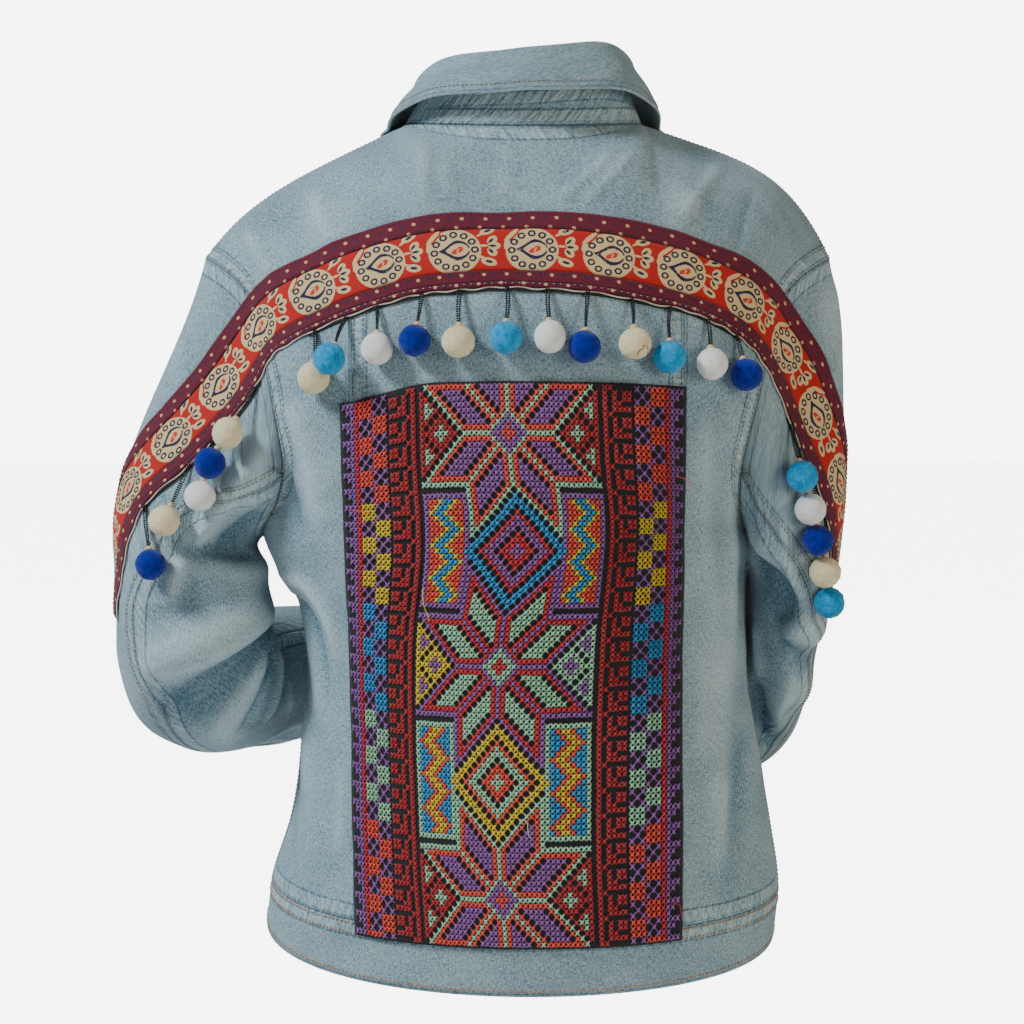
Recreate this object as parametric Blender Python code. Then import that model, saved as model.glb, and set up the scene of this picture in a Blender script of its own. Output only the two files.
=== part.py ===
# A light denim jacket, filled out as if worn, with an embroidered back panel,
# a printed braid across the back and sleeves, and bead strings with felt pompoms.
# Metres. +X is the wearer's right, -Y the back, +Z up.
# The origin is the middle of the neck opening, level with the seam of the back neck.
import math
from collections import namedtuple

import bmesh
import bpy
import numpy as np
from mathutils import Vector
from mathutils.bvhtree import BVHTree

# Cloth and seams
CLOTH = 0.0016
DOUBLE_CLOTH = 0.0030
BRAID_CLOTH = 0.0012
SEAM_GAP = 0.0003
LAY_GAP = 0.0004

# Neck and shoulders
NECK_HALF = 0.084
NECK_SHIFT = 0.004
NECK_BACK = 0.066
NECK_FRONT = 0.080
NECK_SIDE_RISE = 0.004
NECK_FRONT_DROP = 0.089
NECK_FRONT_CURVE = 1.8
SHOULDER_HALF = 0.223
SHOULDER_DROP = 0.094
SHOULDER_SLOPE = {"left": 0.71, "right": 0.46}
CAP_OUTWARD = {"left": 0.25, "right": 0.14}
NECK_SHARE = 0.42
FLATNESS = 0.88
HEM_TILT = -0.004

# Heights on the body, as steps of `up`: hem 0, waistband seam, armpit 1, yoke seam 2, shoulder 3
HEM_UP = 0.0
WAISTBAND_UP = 0.15
ARMPIT_UP = 1.0
YOKE_UP = 2.0
SHOULDER_UP = 3.0

# Front opening, back panel and its seams
BAND_HALF = 0.019
PRINCESS_X = 0.1125
PANEL_TOP_Z = -0.172
PANEL_BOTTOM_Z = -0.5605
PANEL_LEFT_TOP_X = -0.1200
PANEL_LEFT_LOW_X = -0.1120
PANEL_RIGHT_X = 0.1130
PANEL_DROOP = 0.055

# Braid across the back and sleeves
BRAID_WIDTH = 0.053
BORDER_TOP_SHARE = 0.235
BORDER_LOW_SHARE = 0.785

# Bead strings and pompoms
STRING_WIDTH = 0.0017
POMPOM_RADIUS = 0.0110

Edge = namedtuple("Edge", "up right left z back front")
Middle = namedtuple("Middle", "up y z")
Ring = namedtuple("Ring", "along x y z wide deep")
Fold = namedtuple("Fold", "a b to_a to_b width height")
Leaf = namedtuple("Leaf", "turn top_out top_up fold_out fold_up edge_out edge_up")
SeamKey = namedtuple("SeamKey", "along turn")
Stop = namedtuple("Stop", "x y z")
Pompom = namedtuple("Pompom", "root x z")

# Side seam from the hem to the armpit, then the armhole up to the yoke seam
SIDE_EDGE = (
    Edge(0.00, 0.188, 0.184, -0.574, 0.000, 0.000),
    Edge(0.15, 0.191, 0.179, -0.541, 0.000, 0.000),
    Edge(0.32, 0.184, 0.165, -0.495, 0.000, 0.000),
    Edge(0.48, 0.175, 0.157, -0.442, 0.000, 0.000),
    Edge(0.64, 0.167, 0.152, -0.396, 0.000, 0.000),
    Edge(0.84, 0.165, 0.160, -0.330, 0.000, 0.000),
    Edge(1.00, 0.166, 0.183, -0.288, 0.000, 0.000),
    Edge(1.10, 0.161, 0.180, -0.278, 0.030, 0.030),
    Edge(1.24, 0.156, 0.170, -0.262, 0.053, 0.050),
    Edge(1.44, 0.155, 0.163, -0.235, 0.072, 0.066),
    Edge(1.72, 0.166, 0.170, -0.184, 0.077, 0.070),
    Edge(2.00, 0.182, 0.184, -0.126, 0.050, 0.048),
)

# Middle line of the back and of the front, from the hem to the yoke seam
MIDDLE = {
    "back": (
        Middle(0.00, 0.123, -0.595),
        Middle(0.15, 0.124, -0.551),
        Middle(0.32, 0.121, -0.503),
        Middle(0.48, 0.116, -0.449),
        Middle(0.64, 0.112, -0.402),
        Middle(0.84, 0.116, -0.338),
        Middle(1.00, 0.121, -0.288),
        Middle(1.44, 0.126, -0.222),
        Middle(1.72, 0.124, -0.172),
        Middle(2.00, 0.112, -0.112),
    ),
    "front": (
        Middle(0.00, 0.118, -0.583),
        Middle(0.15, 0.117, -0.542),
        Middle(0.32, 0.112, -0.494),
        Middle(0.48, 0.108, -0.441),
        Middle(0.64, 0.108, -0.396),
        Middle(0.84, 0.116, -0.334),
        Middle(1.00, 0.124, -0.290),
        Middle(1.44, 0.127, -0.240),
        Middle(1.72, 0.119, -0.200),
        Middle(2.00, 0.107, -0.158),
    ),
}

# Sleeves below the cap: the middle line and half sizes, x counted outward from the body
ARM = {
    "left": (
        Ring(1, 0.238, -0.007, -0.303, 0.051, 0.054),
        Ring(2, 0.234, -0.011, -0.339, 0.056, 0.054),
        Ring(3, 0.232, -0.007, -0.373, 0.058, 0.046),
        Ring(4, 0.230, 0.016, -0.401, 0.057, 0.045),
        Ring(5, 0.226, 0.051, -0.412, 0.053, 0.047),
        Ring(6, 0.213, 0.092, -0.412, 0.050, 0.052),
        Ring(7, 0.189, 0.130, -0.413, 0.048, 0.052),
        Ring(8, 0.155, 0.162, -0.416, 0.046, 0.051),
        Ring(9, 0.115, 0.184, -0.416, 0.044, 0.047),
        Ring(10, 0.080, 0.195, -0.413, 0.041, 0.043),
        Ring(11, 0.044, 0.202, -0.411, 0.040, 0.042),
    ),
    "right": (
        Ring(1, 0.1995, 0.008, -0.313, 0.0300, 0.061),
        Ring(2, 0.1955, 0.032, -0.351, 0.0300, 0.059),
        Ring(3, 0.1885, 0.069, -0.393, 0.0345, 0.053),
        Ring(4, 0.1800, 0.102, -0.426, 0.0395, 0.051),
        Ring(5, 0.165, 0.131, -0.445, 0.044, 0.051),
        Ring(6, 0.143, 0.160, -0.451, 0.045, 0.050),
        Ring(7, 0.116, 0.184, -0.446, 0.045, 0.048),
        Ring(8, 0.085, 0.200, -0.438, 0.043, 0.045),
        Ring(9, 0.054, 0.209, -0.431, 0.041, 0.042),
        Ring(10, 0.018, 0.214, -0.427, 0.040, 0.041),
    ),
}
SIDES = {"left": -1.0, "right": 1.0}

# Largest folds. On the body a and b are x and z; on a sleeve a is the distance round
# from the outer line towards the back, and b the number of the ring
BODY_FOLDS = {
    "back": (
        Fold(-0.176, -0.290, -0.140, -0.420, 0.012, 0.0060),
        Fold(-0.158, -0.320, -0.146, -0.440, 0.009, -0.0055),
        Fold(0.142, -0.300, 0.136, -0.520, 0.014, 0.0030),
        Fold(0.158, -0.360, 0.150, -0.540, 0.008, -0.0025),
        Fold(0.120, -0.020, 0.108, -0.075, 0.010, 0.0020),
        Fold(-0.150, -0.040, -0.125, -0.085, 0.010, 0.0018),
    ),
    "front": (
        Fold(-0.150, -0.300, -0.110, -0.500, 0.013, 0.0040),
        Fold(0.150, -0.300, 0.105, -0.480, 0.013, 0.0040),
        Fold(0.075, -0.200, 0.070, -0.420, 0.014, 0.0025),
        Fold(-0.070, -0.220, -0.078, -0.440, 0.014, -0.0022),
    ),
}
SLEEVE_FOLDS = {
    "left": (
        Fold(0.130, 0.55, 0.052, 1.60, 0.011, 0.0065),
        Fold(0.135, 1.05, 0.062, 1.95, 0.010, -0.0065),
        Fold(0.150, 1.90, 0.045, 2.60, 0.012, 0.0045),
        Fold(0.150, 2.50, 0.060, 3.60, 0.010, -0.0050),
        Fold(0.150, 3.10, 0.085, 4.30, 0.010, 0.0045),
        Fold(0.150, 4.20, 0.190, 6.00, 0.010, -0.0040),
        Fold(0.060, 6.20, 0.150, 8.20, 0.012, 0.0035),
    ),
    "right": (
        Fold(0.085, 0.85, 0.020, 1.70, 0.010, 0.0050),
        Fold(0.090, 1.40, 0.020, 2.20, 0.010, -0.0055),
        Fold(0.095, 2.30, 0.015, 2.90, 0.011, 0.0045),
        Fold(0.110, 2.90, 0.050, 3.90, 0.010, -0.0045),
        Fold(0.120, 3.60, 0.090, 5.20, 0.010, 0.0035),
        Fold(0.060, 5.50, 0.140, 7.20, 0.012, 0.0030),
    ),
}
SLEEVE_ROUND = 0.330

# Seams of the two-piece sleeves, as a share of the way round from the outer line
BACK_SEAM = (
    SeamKey(0.0, 0.300),
    SeamKey(0.5, 0.275),
    SeamKey(1.0, 0.205),
    SeamKey(1.6, 0.150),
    SeamKey(2.4, 0.135),
    SeamKey(3.4, 0.170),
    SeamKey(5.0, 0.235),
    SeamKey(12.0, 0.250),
)
INNER_SEAM = 0.600

# The collar: how far its top edge, fold and free edge stand out from the neck seam and above it,
# from the middle of the back (0) to the middle of the front (1)
COLLAR = (
    Leaf(0.00, -0.0060, 0.0262, -0.0030, 0.0535, 0.0140, 0.0235),
    Leaf(0.25, -0.0070, 0.0258, -0.0060, 0.0510, 0.0150, 0.0200),
    Leaf(0.50, -0.0080, 0.0175, -0.0090, 0.0330, 0.0140, -0.0010),
    Leaf(0.75, -0.0060, 0.0170, -0.0040, 0.0310, 0.0290, -0.0240),
    Leaf(0.96, -0.0040, 0.0180, -0.0010, 0.0300, 0.0360, -0.0440),
)
COLLAR_TILT = 0.0040
FOLD_RADIUS = 0.0045

# Middle line of the braid, close to the cloth that it lies on
BRAID_LINE = (
    Stop(-0.289, -0.006, -0.3390),
    Stop(-0.287, -0.018, -0.2960),
    Stop(-0.276, -0.028, -0.2530),
    Stop(-0.243, -0.045, -0.2140),
    Stop(-0.213, -0.055, -0.1790),
    Stop(-0.179, -0.062, -0.1350),
    Stop(-0.146, -0.085, -0.1135),
    Stop(-0.086, -0.108, -0.0885),
    Stop(-0.005, -0.112, -0.0820),
    Stop(0.058, -0.110, -0.0855),
    Stop(0.116, -0.098, -0.0975),
    Stop(0.148, -0.082, -0.1110),
    Stop(0.174, -0.066, -0.1300),
    Stop(0.195, -0.050, -0.1640),
    Stop(0.213, -0.045, -0.2060),
    Stop(0.229, -0.030, -0.2560),
    Stop(0.231, -0.016, -0.3160),
)

# Pompoms: where the string leaves the braid's edge (x on the back, z on a sleeve),
# and where the middle of the ball hangs, x and z
BACK_POMPOMS = (
    Pompom(-0.1386, -0.1379, -0.1704),
    Pompom(-0.1162, -0.1265, -0.1570),
    Pompom(-0.0953, -0.0944, -0.1502),
    Pompom(-0.0649, -0.0689, -0.1448),
    Pompom(-0.0387, -0.0397, -0.1454),
    Pompom(-0.0073, -0.0080, -0.1427),
    Pompom(0.0200, 0.0212, -0.1420),
    Pompom(0.0468, 0.0444, -0.1487),
    Pompom(0.0763, 0.0781, -0.1467),
    Pompom(0.1027, 0.1017, -0.1560),
    Pompom(0.1290, 0.1310, -0.1610),
    Pompom(0.1500, 0.1555, -0.1690),
)
LEFT_POMPOMS = (
    Pompom(-0.1786, -0.1990, -0.2095),
    Pompom(-0.1987, -0.2119, -0.2305),
    Pompom(-0.2157, -0.2198, -0.2535),
    Pompom(-0.2326, -0.2458, -0.2716),
    Pompom(-0.2622, -0.2554, -0.3022),
)
RIGHT_POMPOMS = (
    Pompom(-0.2053, 0.1958, -0.2395),
    Pompom(-0.2216, 0.2022, -0.2625),
    Pompom(-0.2434, 0.2083, -0.2850),
    Pompom(-0.2657, 0.2144, -0.3080),
    Pompom(-0.2868, 0.2188, -0.3310),
)

# Colours as red, green, blue
COLOURS = {
    "denim": (0.33, 0.47, 0.54),
    "ground": (0.02, 0.02, 0.025),
    "maroon": (0.16, 0.01, 0.035),
    "red_print": (0.50, 0.05, 0.02),
    "black_bead": (0.01, 0.01, 0.01),
    "brass": (0.45, 0.33, 0.20),
    "cream": (0.70, 0.65, 0.45),
    "turquoise": (0.02, 0.32, 0.65),
    "white": (0.75, 0.74, 0.71),
    "blue": (0.015, 0.04, 0.35),
}
BACK_COLOURS = ("cream", "turquoise", "white", "blue", "cream", "turquoise",
                "white", "blue", "cream", "turquoise", "white", "blue")
LEFT_COLOURS = ("cream", "blue", "white", "cream", "blue")
RIGHT_COLOURS = ("turquoise", "white", "blue", "cream", "turquoise")


# A smooth curve through the rows of a table

def smooth(keys, values, at):
    keys = np.asarray(keys, float)
    values = np.asarray(values, float)
    slopes = np.gradient(values, keys)
    at = np.clip(np.asarray(at, float), keys[0], keys[-1])
    i = np.clip(np.searchsorted(keys, at) - 1, 0, len(keys) - 2)
    step = keys[i + 1] - keys[i]
    u = (at - keys[i]) / step
    start = (2 * u**3 - 3 * u**2 + 1) * values[i] + (u**3 - 2 * u**2 + u) * step * slopes[i]
    end = (3 * u**2 - 2 * u**3) * values[i + 1] + (u**3 - u**2) * step * slopes[i + 1]
    return start + end


def from_table(table, value, at):
    return smooth([row[0] for row in table], [getattr(row, value) for row in table], at)


def ease(value):
    value = np.clip(value, 0.0, 1.0)
    return value * value * (3.0 - 2.0 * value)


def unit(vectors):
    length = np.linalg.norm(vectors, axis=-1, keepdims=True)
    return vectors / np.maximum(length, 1e-12)


def between(start, start_pull, end, end_pull, share):
    """A Bezier curve from start to end, for arrays of points."""
    w = np.asarray(share)[..., None]
    return ((1 - w)**3 * start + 3 * (1 - w)**2 * w * (start + start_pull)
            + 3 * (1 - w) * w**2 * (end - end_pull) + w**3 * end)


# The neck seam, shoulder seams and body

def neck_ring(turn):
    """turn runs from 0 at the middle of the back to 1 or -1 at the middle of the front."""
    angle = np.asarray(turn, float) * math.pi
    ahead = np.maximum(-np.cos(angle), 0.0)
    behind = np.maximum(np.cos(angle), 0.0)
    x = NECK_SHIFT + NECK_HALF * np.sin(angle)
    y = NECK_FRONT * ahead - NECK_BACK * behind
    z = NECK_SIDE_RISE * (1 - behind**2) - NECK_FRONT_DROP * ahead**NECK_FRONT_CURVE
    return np.stack([x, y, z], axis=-1)


def shoulder_line(face, across):
    side = np.where(across < 0, -1.0, 1.0)
    share = np.abs(across)
    turn = 0.5 * np.clip(share / NECK_SHARE, 0, 1)
    neck = neck_ring(side * (turn if face == "back" else 1.0 - turn))
    out = np.clip((share - NECK_SHARE) / (1 - NECK_SHARE), 0, 1)
    slope = np.where(side > 0, SHOULDER_SLOPE["right"], SHOULDER_SLOPE["left"])
    drop = SHOULDER_DROP * (slope * out + (1 - slope) * out**5)
    reach = (side * SHOULDER_HALF - neck[..., 0]) * out
    seam = np.stack([reach, 0.008 * np.sin(math.pi * out), -drop], axis=-1)
    return neck + seam


def body_row(face, across, up):
    facing = -1.0 if face == "back" else 1.0
    edge_x = np.where(across >= 0, from_table(SIDE_EDGE, "right", up), from_table(SIDE_EDGE, "left", up))
    edge_y = np.maximum(from_table(SIDE_EDGE, face, up), 0.0)
    edge_z = from_table(SIDE_EDGE, "z", up)
    middle_y = from_table(MIDDLE[face], "y", up)
    middle_z = from_table(MIDDLE[face], "z", up)
    sweep = np.arccos(np.clip(edge_y / middle_y, 0, 0.98)**(1 / FLATNESS))
    turn = across * sweep
    x = edge_x * np.sin(turn) / np.sin(sweep)
    y = facing * middle_y * np.maximum(np.cos(turn), 0)**FLATNESS
    tilt = HEM_TILT * across * ease((0.6 - up) / 0.6)
    z = middle_z + (edge_z - middle_z) * across**2 + tilt
    return np.stack([x, y, z], axis=-1)


def body_plain(face, across, up):
    across, up = np.broadcast_arrays(np.asarray(across, float), np.asarray(up, float))
    lower = body_row(face, across, np.minimum(up, YOKE_UP))
    facing = -1.0 if face == "back" else 1.0
    base = body_row(face, across, np.full(across.shape, YOKE_UP))
    below = body_row(face, across, np.full(across.shape, YOKE_UP - 0.04))
    top = shoulder_line(face, across)
    span = np.linalg.norm(top - base, axis=-1, keepdims=True)
    flat = ease(np.abs(across) / NECK_SHARE)
    lead = np.stack([0 * flat, -facing * (0.45 + 0.55 * flat), 0.9 * (1 - flat)], axis=-1)
    share = np.clip(up - YOKE_UP, 0, 1)
    upper = between(base, unit(base - below) * span * 0.38, top, unit(lead) * span * 0.38, share)
    return np.where((up > YOKE_UP)[..., None], upper, lower)


def across_at(face, x, up):
    """The share across a row of the body where it reaches the distance x from the middle."""
    side = np.where(np.asarray(x) < 0, -1.0, 1.0)
    level = np.minimum(up, YOKE_UP)
    edge_x = np.where(side > 0, from_table(SIDE_EDGE, "right", level), from_table(SIDE_EDGE, "left", level))
    edge_y = np.maximum(from_table(SIDE_EDGE, face, level), 0.0)
    sweep = np.arccos(np.clip(edge_y / from_table(MIDDLE[face], "y", level), 0, 0.98)**(1 / FLATNESS))
    low = np.arcsin(np.clip(np.abs(x) * np.sin(sweep) / edge_x, 0, 1)) / sweep
    high = NECK_SHARE * np.arcsin(np.clip(np.abs(x - NECK_SHIFT) / NECK_HALF, 0, 1)) / (math.pi / 2)
    lift = np.clip(np.asarray(up) - YOKE_UP, 0, 1)
    return side * (low + (high - low) * lift)


def fold_height(folds, a, b, stretch=1.0):
    """Height of all folds at (a, b); b is stretched to the same unit as a."""
    total = np.zeros(np.shape(a))
    for fold in folds:
        run_a = fold.to_a - fold.a
        run_b = (fold.to_b - fold.b) * stretch
        length = math.hypot(run_a, run_b)
        off_a = a - fold.a
        off_b = (b - fold.b) * stretch
        along = np.clip((off_a * run_a + off_b * run_b) / length**2, 0, 1)
        aside = (off_a * run_b - off_b * run_a) / length
        reach = 1 - (2 * along - 1)**2
        total = total + fold.height * reach * np.exp(-(aside / fold.width)**2)
    return total


def slopes_of(surface, a, b, low, high, step=0.004):
    """Directions along a and along b, from nearby points kept inside low and high."""
    a_less, a_more = np.maximum(a - step, low), np.minimum(a + step, high)
    along_a = (surface(a_more, b) - surface(a_less, b)) / (a_more - a_less)[..., None]
    along_b = (surface(a, b + step) - surface(a, b - step)) / (2 * step)
    return along_a, along_b


def body_normal(face, across, up):
    up = np.clip(up, HEM_UP + 0.004, SHOULDER_UP - 0.005)
    along_a, along_b = slopes_of(lambda a, b: body_plain(face, a, b), across, up, -1.0, 1.0)
    facing = 1.0 if face == "back" else -1.0
    return unit(facing * np.cross(along_a, along_b))


def body(face, across, up):
    """Outer points of the body's cloth and their outward directions."""
    across, up = np.broadcast_arrays(np.asarray(across, float), np.asarray(up, float))
    points = body_plain(face, across, up)
    normals = body_normal(face, across, up)
    inside = ease((1 - np.abs(across)) / 0.08) * ease((up - HEM_UP) / 0.3)
    height = fold_height(BODY_FOLDS[face], points[..., 0], points[..., 2]) * inside
    return points + normals * height[..., None], normals


# The armholes and sleeves

def armhole_table(side):
    ups_back = np.linspace(SHOULDER_UP, ARMPIT_UP, 161)
    edge = np.full(ups_back.shape, SIDES[side])
    back = body_plain("back", edge, ups_back)
    front = body_plain("front", edge, ups_back[::-1])
    turns = []
    for half in (back, front):
        steps = np.linalg.norm(np.diff(half, axis=0), axis=1)
        turns.append(0.5 * np.concatenate([[0], np.cumsum(steps)]) / steps.sum())
    keys = np.concatenate([turns[0], 0.5 + turns[1][1:]])
    return keys, np.concatenate([back, front[1:]])


ARMHOLES = {side: armhole_table(side) for side in SIDES}


def armhole(side, turn):
    keys, points = ARMHOLES[side]
    turn = np.mod(turn, 1.0)
    return np.stack([np.interp(turn, keys, points[:, k]) for k in range(3)], axis=-1)


def arm_line(side):
    """Middle line of a sleeve with its outward and backward directions, carried without twist."""
    rings = ARM[side]
    fine = np.linspace(rings[0].along, rings[-1].along, 16 * (len(rings) - 1) + 1)
    outward = SIDES[side] * from_table(rings, "x", fine)
    line = np.stack([outward, from_table(rings, "y", fine), from_table(rings, "z", fine)], axis=-1)
    tangent = np.pad(unit(np.gradient(line, axis=0)), ((12, 12), (0, 0)), mode="edge")
    even = np.ones(25) / 25
    tangent = unit(np.stack([np.convolve(tangent[:, k], even, mode="valid") for k in range(3)], axis=-1))
    out = np.zeros_like(line)
    direction = np.array([SIDES[side], 0.0, 0.0])
    for k in range(len(line)):
        direction = unit(direction - tangent[k] * np.dot(direction, tangent[k]))
        out[k] = direction
    back = SIDES[side] * np.cross(tangent, out)
    return fine, line, tangent, out, back


ARM_LINES = {side: arm_line(side) for side in SIDES}


def sleeve_ring(side, turn, along):
    fine, line, tangent, out, back = ARM_LINES[side]
    along = np.clip(along, 1.0, None)
    pick = lambda field: np.stack([np.interp(along, fine, field[:, k]) for k in range(3)], axis=-1)
    wide = from_table(ARM[side], "wide", along)[..., None]
    deep = from_table(ARM[side], "deep", along)[..., None]
    angle = 2 * math.pi * turn
    ring = wide * np.cos(angle)[..., None] * pick(out) + deep * np.sin(angle)[..., None] * pick(back)
    return pick(line) + ring, pick(tangent)


def sleeve_plain(side, turn, along):
    turn, along = np.broadcast_arrays(np.asarray(turn, float), np.asarray(along, float))
    ring, axis = sleeve_ring(side, turn, along)
    start = armhole(side, turn)
    end, end_axis = sleeve_ring(side, turn, np.ones(turn.shape))
    top = 0.5 + 0.5 * np.cos(2 * math.pi * turn)
    outward = 0.10 + (CAP_OUTWARD[side] - 0.10) * np.clip(2 * top - 1, 0, 1)
    outward = outward + 0.15 * np.clip(1 - 2 * top, 0, 1)
    lead = np.stack([SIDES[side] * outward, 0 * top, -np.ones(top.shape)], axis=-1)
    span = np.linalg.norm(end - start, axis=-1, keepdims=True)
    cap = between(start, unit(lead) * span * 0.36, end, end_axis * span * 0.34, np.clip(along, 0, 1))
    return np.where((along < 1.0)[..., None], cap, ring)


def sleeve_normal(side, turn, along):
    along = np.clip(along, 0.006, ARM[side][-1].along - 0.006)
    along_a, along_b = slopes_of(lambda a, b: sleeve_plain(side, a, b), turn, along, -9.0, 9.0)
    return unit(SIDES[side] * np.cross(along_a, along_b))


def sleeve(side, turn, along):
    turn, along = np.broadcast_arrays(np.asarray(turn, float), np.asarray(along, float))
    points = sleeve_plain(side, turn, along)
    normals = sleeve_normal(side, turn, along)
    folds = SLEEVE_FOLDS[side]
    around = np.mod(turn + 0.3, 1.0) - 0.3
    height = fold_height(folds, around * SLEEVE_ROUND, along, stretch=0.036)
    cuff_start = ARM[side][-2].along
    height = height * ease(along / 0.4) * ease((cuff_start - along) / 0.8)
    return points + normals * height[..., None], normals


def armhole_normal(own, other):
    """Both cloths lean the same way where they meet, unless they face each other."""
    share = np.clip(np.sum(own * other, axis=-1, keepdims=True), 0, 1)
    return unit(own + share * other)


# Making solids

def collection(name):
    made = bpy.data.collections.new(name)
    bpy.context.scene.collection.children.link(made)
    return made


def material(name, colour, roughness=0.85, metallic=0.0):
    made = bpy.data.materials.new(name)
    made.use_nodes = True
    shader = made.node_tree.nodes["Principled BSDF"]
    shader.inputs["Base Color"].default_value = (*COLOURS[colour], 1.0)
    shader.inputs["Roughness"].default_value = roughness
    shader.inputs["Metallic"].default_value = metallic
    return made


def add_object(name, mesh, colour, roughness=0.85, metallic=0.0):
    made = bpy.data.objects.new(name, mesh)
    mesh.materials.append(material(name, colour, roughness, metallic))
    JACKET.objects.link(made)
    return made


def pull_in(points, sides, gap=SEAM_GAP / 2):
    """Pull the named edges of a grid of points back by half a seam's gap, square to the seam."""
    points = points.copy()
    for side, edge, inner in (("start", np.s_[:, 0], np.s_[:, 1]), ("end", np.s_[:, -1], np.s_[:, -2]),
                              ("low", np.s_[0], np.s_[1]), ("high", np.s_[-1], np.s_[-2])):
        if side in sides:
            seam = unit(np.gradient(points[edge], axis=0))
            inward = points[inner] - points[edge]
            inward = inward - seam * np.sum(inward * seam, axis=-1, keepdims=True)
            points[edge] += unit(inward) * gap
    return points


SKINS = {}


def skin_of(grid, outer, normals):
    """The outer face of a wall alone, as points and triangles that face out."""
    rows, columns = outer.shape[0] - 1, outer.shape[1] - 1
    triangles = []
    for face in grid.faces:
        spots = [(round((v.co.y + 1) / 2 * rows), round((v.co.x + 1) / 2 * columns)) for v in face.verts]
        corner = [outer[spot] for spot in spots]
        facing = np.dot(np.cross(corner[1] - corner[0], corner[2] - corner[0]), normals[spots[0]])
        order = spots if facing > 0 else spots[::-1]
        triangles.append([j * (columns + 1) + i for j, i in order])
    return outer.reshape(-1, 3), triangles


def cloth_mesh(name, outer, normals, thick, smooth_shade=True):
    """A wall from a grid of outer points: a flat grid, thickened by an extrusion, then put in place."""
    rows, columns = outer.shape[0] - 1, outer.shape[1] - 1
    grid = bmesh.new()
    bmesh.ops.create_grid(grid, x_segments=columns, y_segments=rows, size=1.0)
    bmesh.ops.triangulate(grid, faces=grid.faces[:], quad_method="FIXED")
    SKINS[name] = skin_of(grid, outer, normals)
    made = bmesh.ops.extrude_face_region(grid, geom=grid.faces[:], use_keep_orig=True)
    lower = {item for item in made["geom"] if isinstance(item, bmesh.types.BMVert)}
    for point in grid.verts:
        i = round((point.co.x + 1) / 2 * columns)
        j = round((point.co.y + 1) / 2 * rows)
        depth = thick if point in lower else 0.0
        point.co = Vector(outer[j, i] - normals[j, i] * depth)
    bmesh.ops.recalc_face_normals(grid, faces=grid.faces[:])
    if grid.calc_volume(signed=True) < 0:
        bmesh.ops.reverse_faces(grid, faces=grid.faces[:])
    mesh = bpy.data.meshes.new(name)
    grid.to_mesh(mesh)
    grid.free()
    if smooth_shade:
        mesh.shade_smooth()
        mesh.set_sharp_from_angle(angle=math.radians(40))
    return mesh


def shares(start, end, count):
    return np.linspace(start, end, count + 1)


def body_piece(name, face, across_of, ups, columns, thick, seams, colour="denim", lift=None):
    """A piece of the body; across_of(share, up) gives its columns."""
    share, up = np.meshgrid(shares(0, 1, columns), ups)
    across = across_of(share, up)
    points, normals = body(face, across, up)
    for side, sign in SIDES.items():
        at_edge = (np.abs(across - sign) < 1e-6) & (up >= ARMPIT_UP)
        if at_edge.any():
            normals[at_edge] = seam_lean(side, face, up[at_edge], normals[at_edge])
    if lift is not None:
        points = points + normals * lift(points)[..., None]
    points = pull_in(points, seams)
    return add_object(name, cloth_mesh(name, points, normals, thick), colour)


def seam_lean(side, face, up, own):
    """Directions at the armhole, shared by the body and the sleeve."""
    keys, points = ARMHOLES[side]
    here = body_plain(face, np.full(up.shape, SIDES[side]), up)
    half = slice(0, 161) if face == "back" else slice(160, 321)
    nearest = [int(np.argmin(np.linalg.norm(points[half] - p, axis=1))) for p in here]
    turn = keys[half][nearest]
    return armhole_normal(own, sleeve_normal(side, turn, np.zeros(turn.shape)))


def sleeve_lean(side, turn, own):
    keys, points = ARMHOLES[side]
    turn = np.mod(turn, 1.0)
    ups = np.linspace(SHOULDER_UP, ARMPIT_UP, 161)
    result = own.copy()
    for k, t in enumerate(turn):
        face = "back" if t <= 0.5 else "front"
        table_ups = ups if face == "back" else ups[::-1]
        table_keys = keys[:161] if face == "back" else keys[160:]
        up = np.interp(t, table_keys, table_ups)
        other = body_normal(face, np.array([SIDES[side]]), np.array([up]))
        result[k] = armhole_normal(own[k:k + 1], other)[0]
    return result


def sleeve_piece(name, side, top_turns, low_turns, alongs, thick):
    """Columns run from the armhole's own points to even steps between the seams."""
    column, along = np.meshgrid(np.arange(len(top_turns)), alongs)
    share = column / (len(top_turns) - 1)
    first, last = low_turns(along)
    even = first + (last - first) * share
    turn = even + (np.array(top_turns)[column] - even) * (1 - ease(along))
    points, normals = sleeve(side, turn, along)
    normals[0] = sleeve_lean(side, turn[0], normals[0])
    normals[1] = unit(normals[0] + normals[2])
    points = pull_in(points, ("low", "high"))
    points = pull_in(points, ("start", "end"), SEAM_GAP)
    return add_object(name, cloth_mesh(name, points, normals, thick), "denim")


def surface_tree(pieces):
    """One search tree over the outer faces of several pieces of cloth."""
    verts, faces = [], []
    for piece in pieces:
        points, triangles = SKINS[piece.name]
        start = len(verts)
        verts.extend(Vector(point) for point in points)
        faces.extend([start + k for k in triangle] for triangle in triangles)
    return BVHTree.FromPolygons(verts, faces)


def snap(tree, point):
    place, normal, index, distance = tree.find_nearest(Vector(point))
    return np.array(place), np.array(normal)


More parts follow.
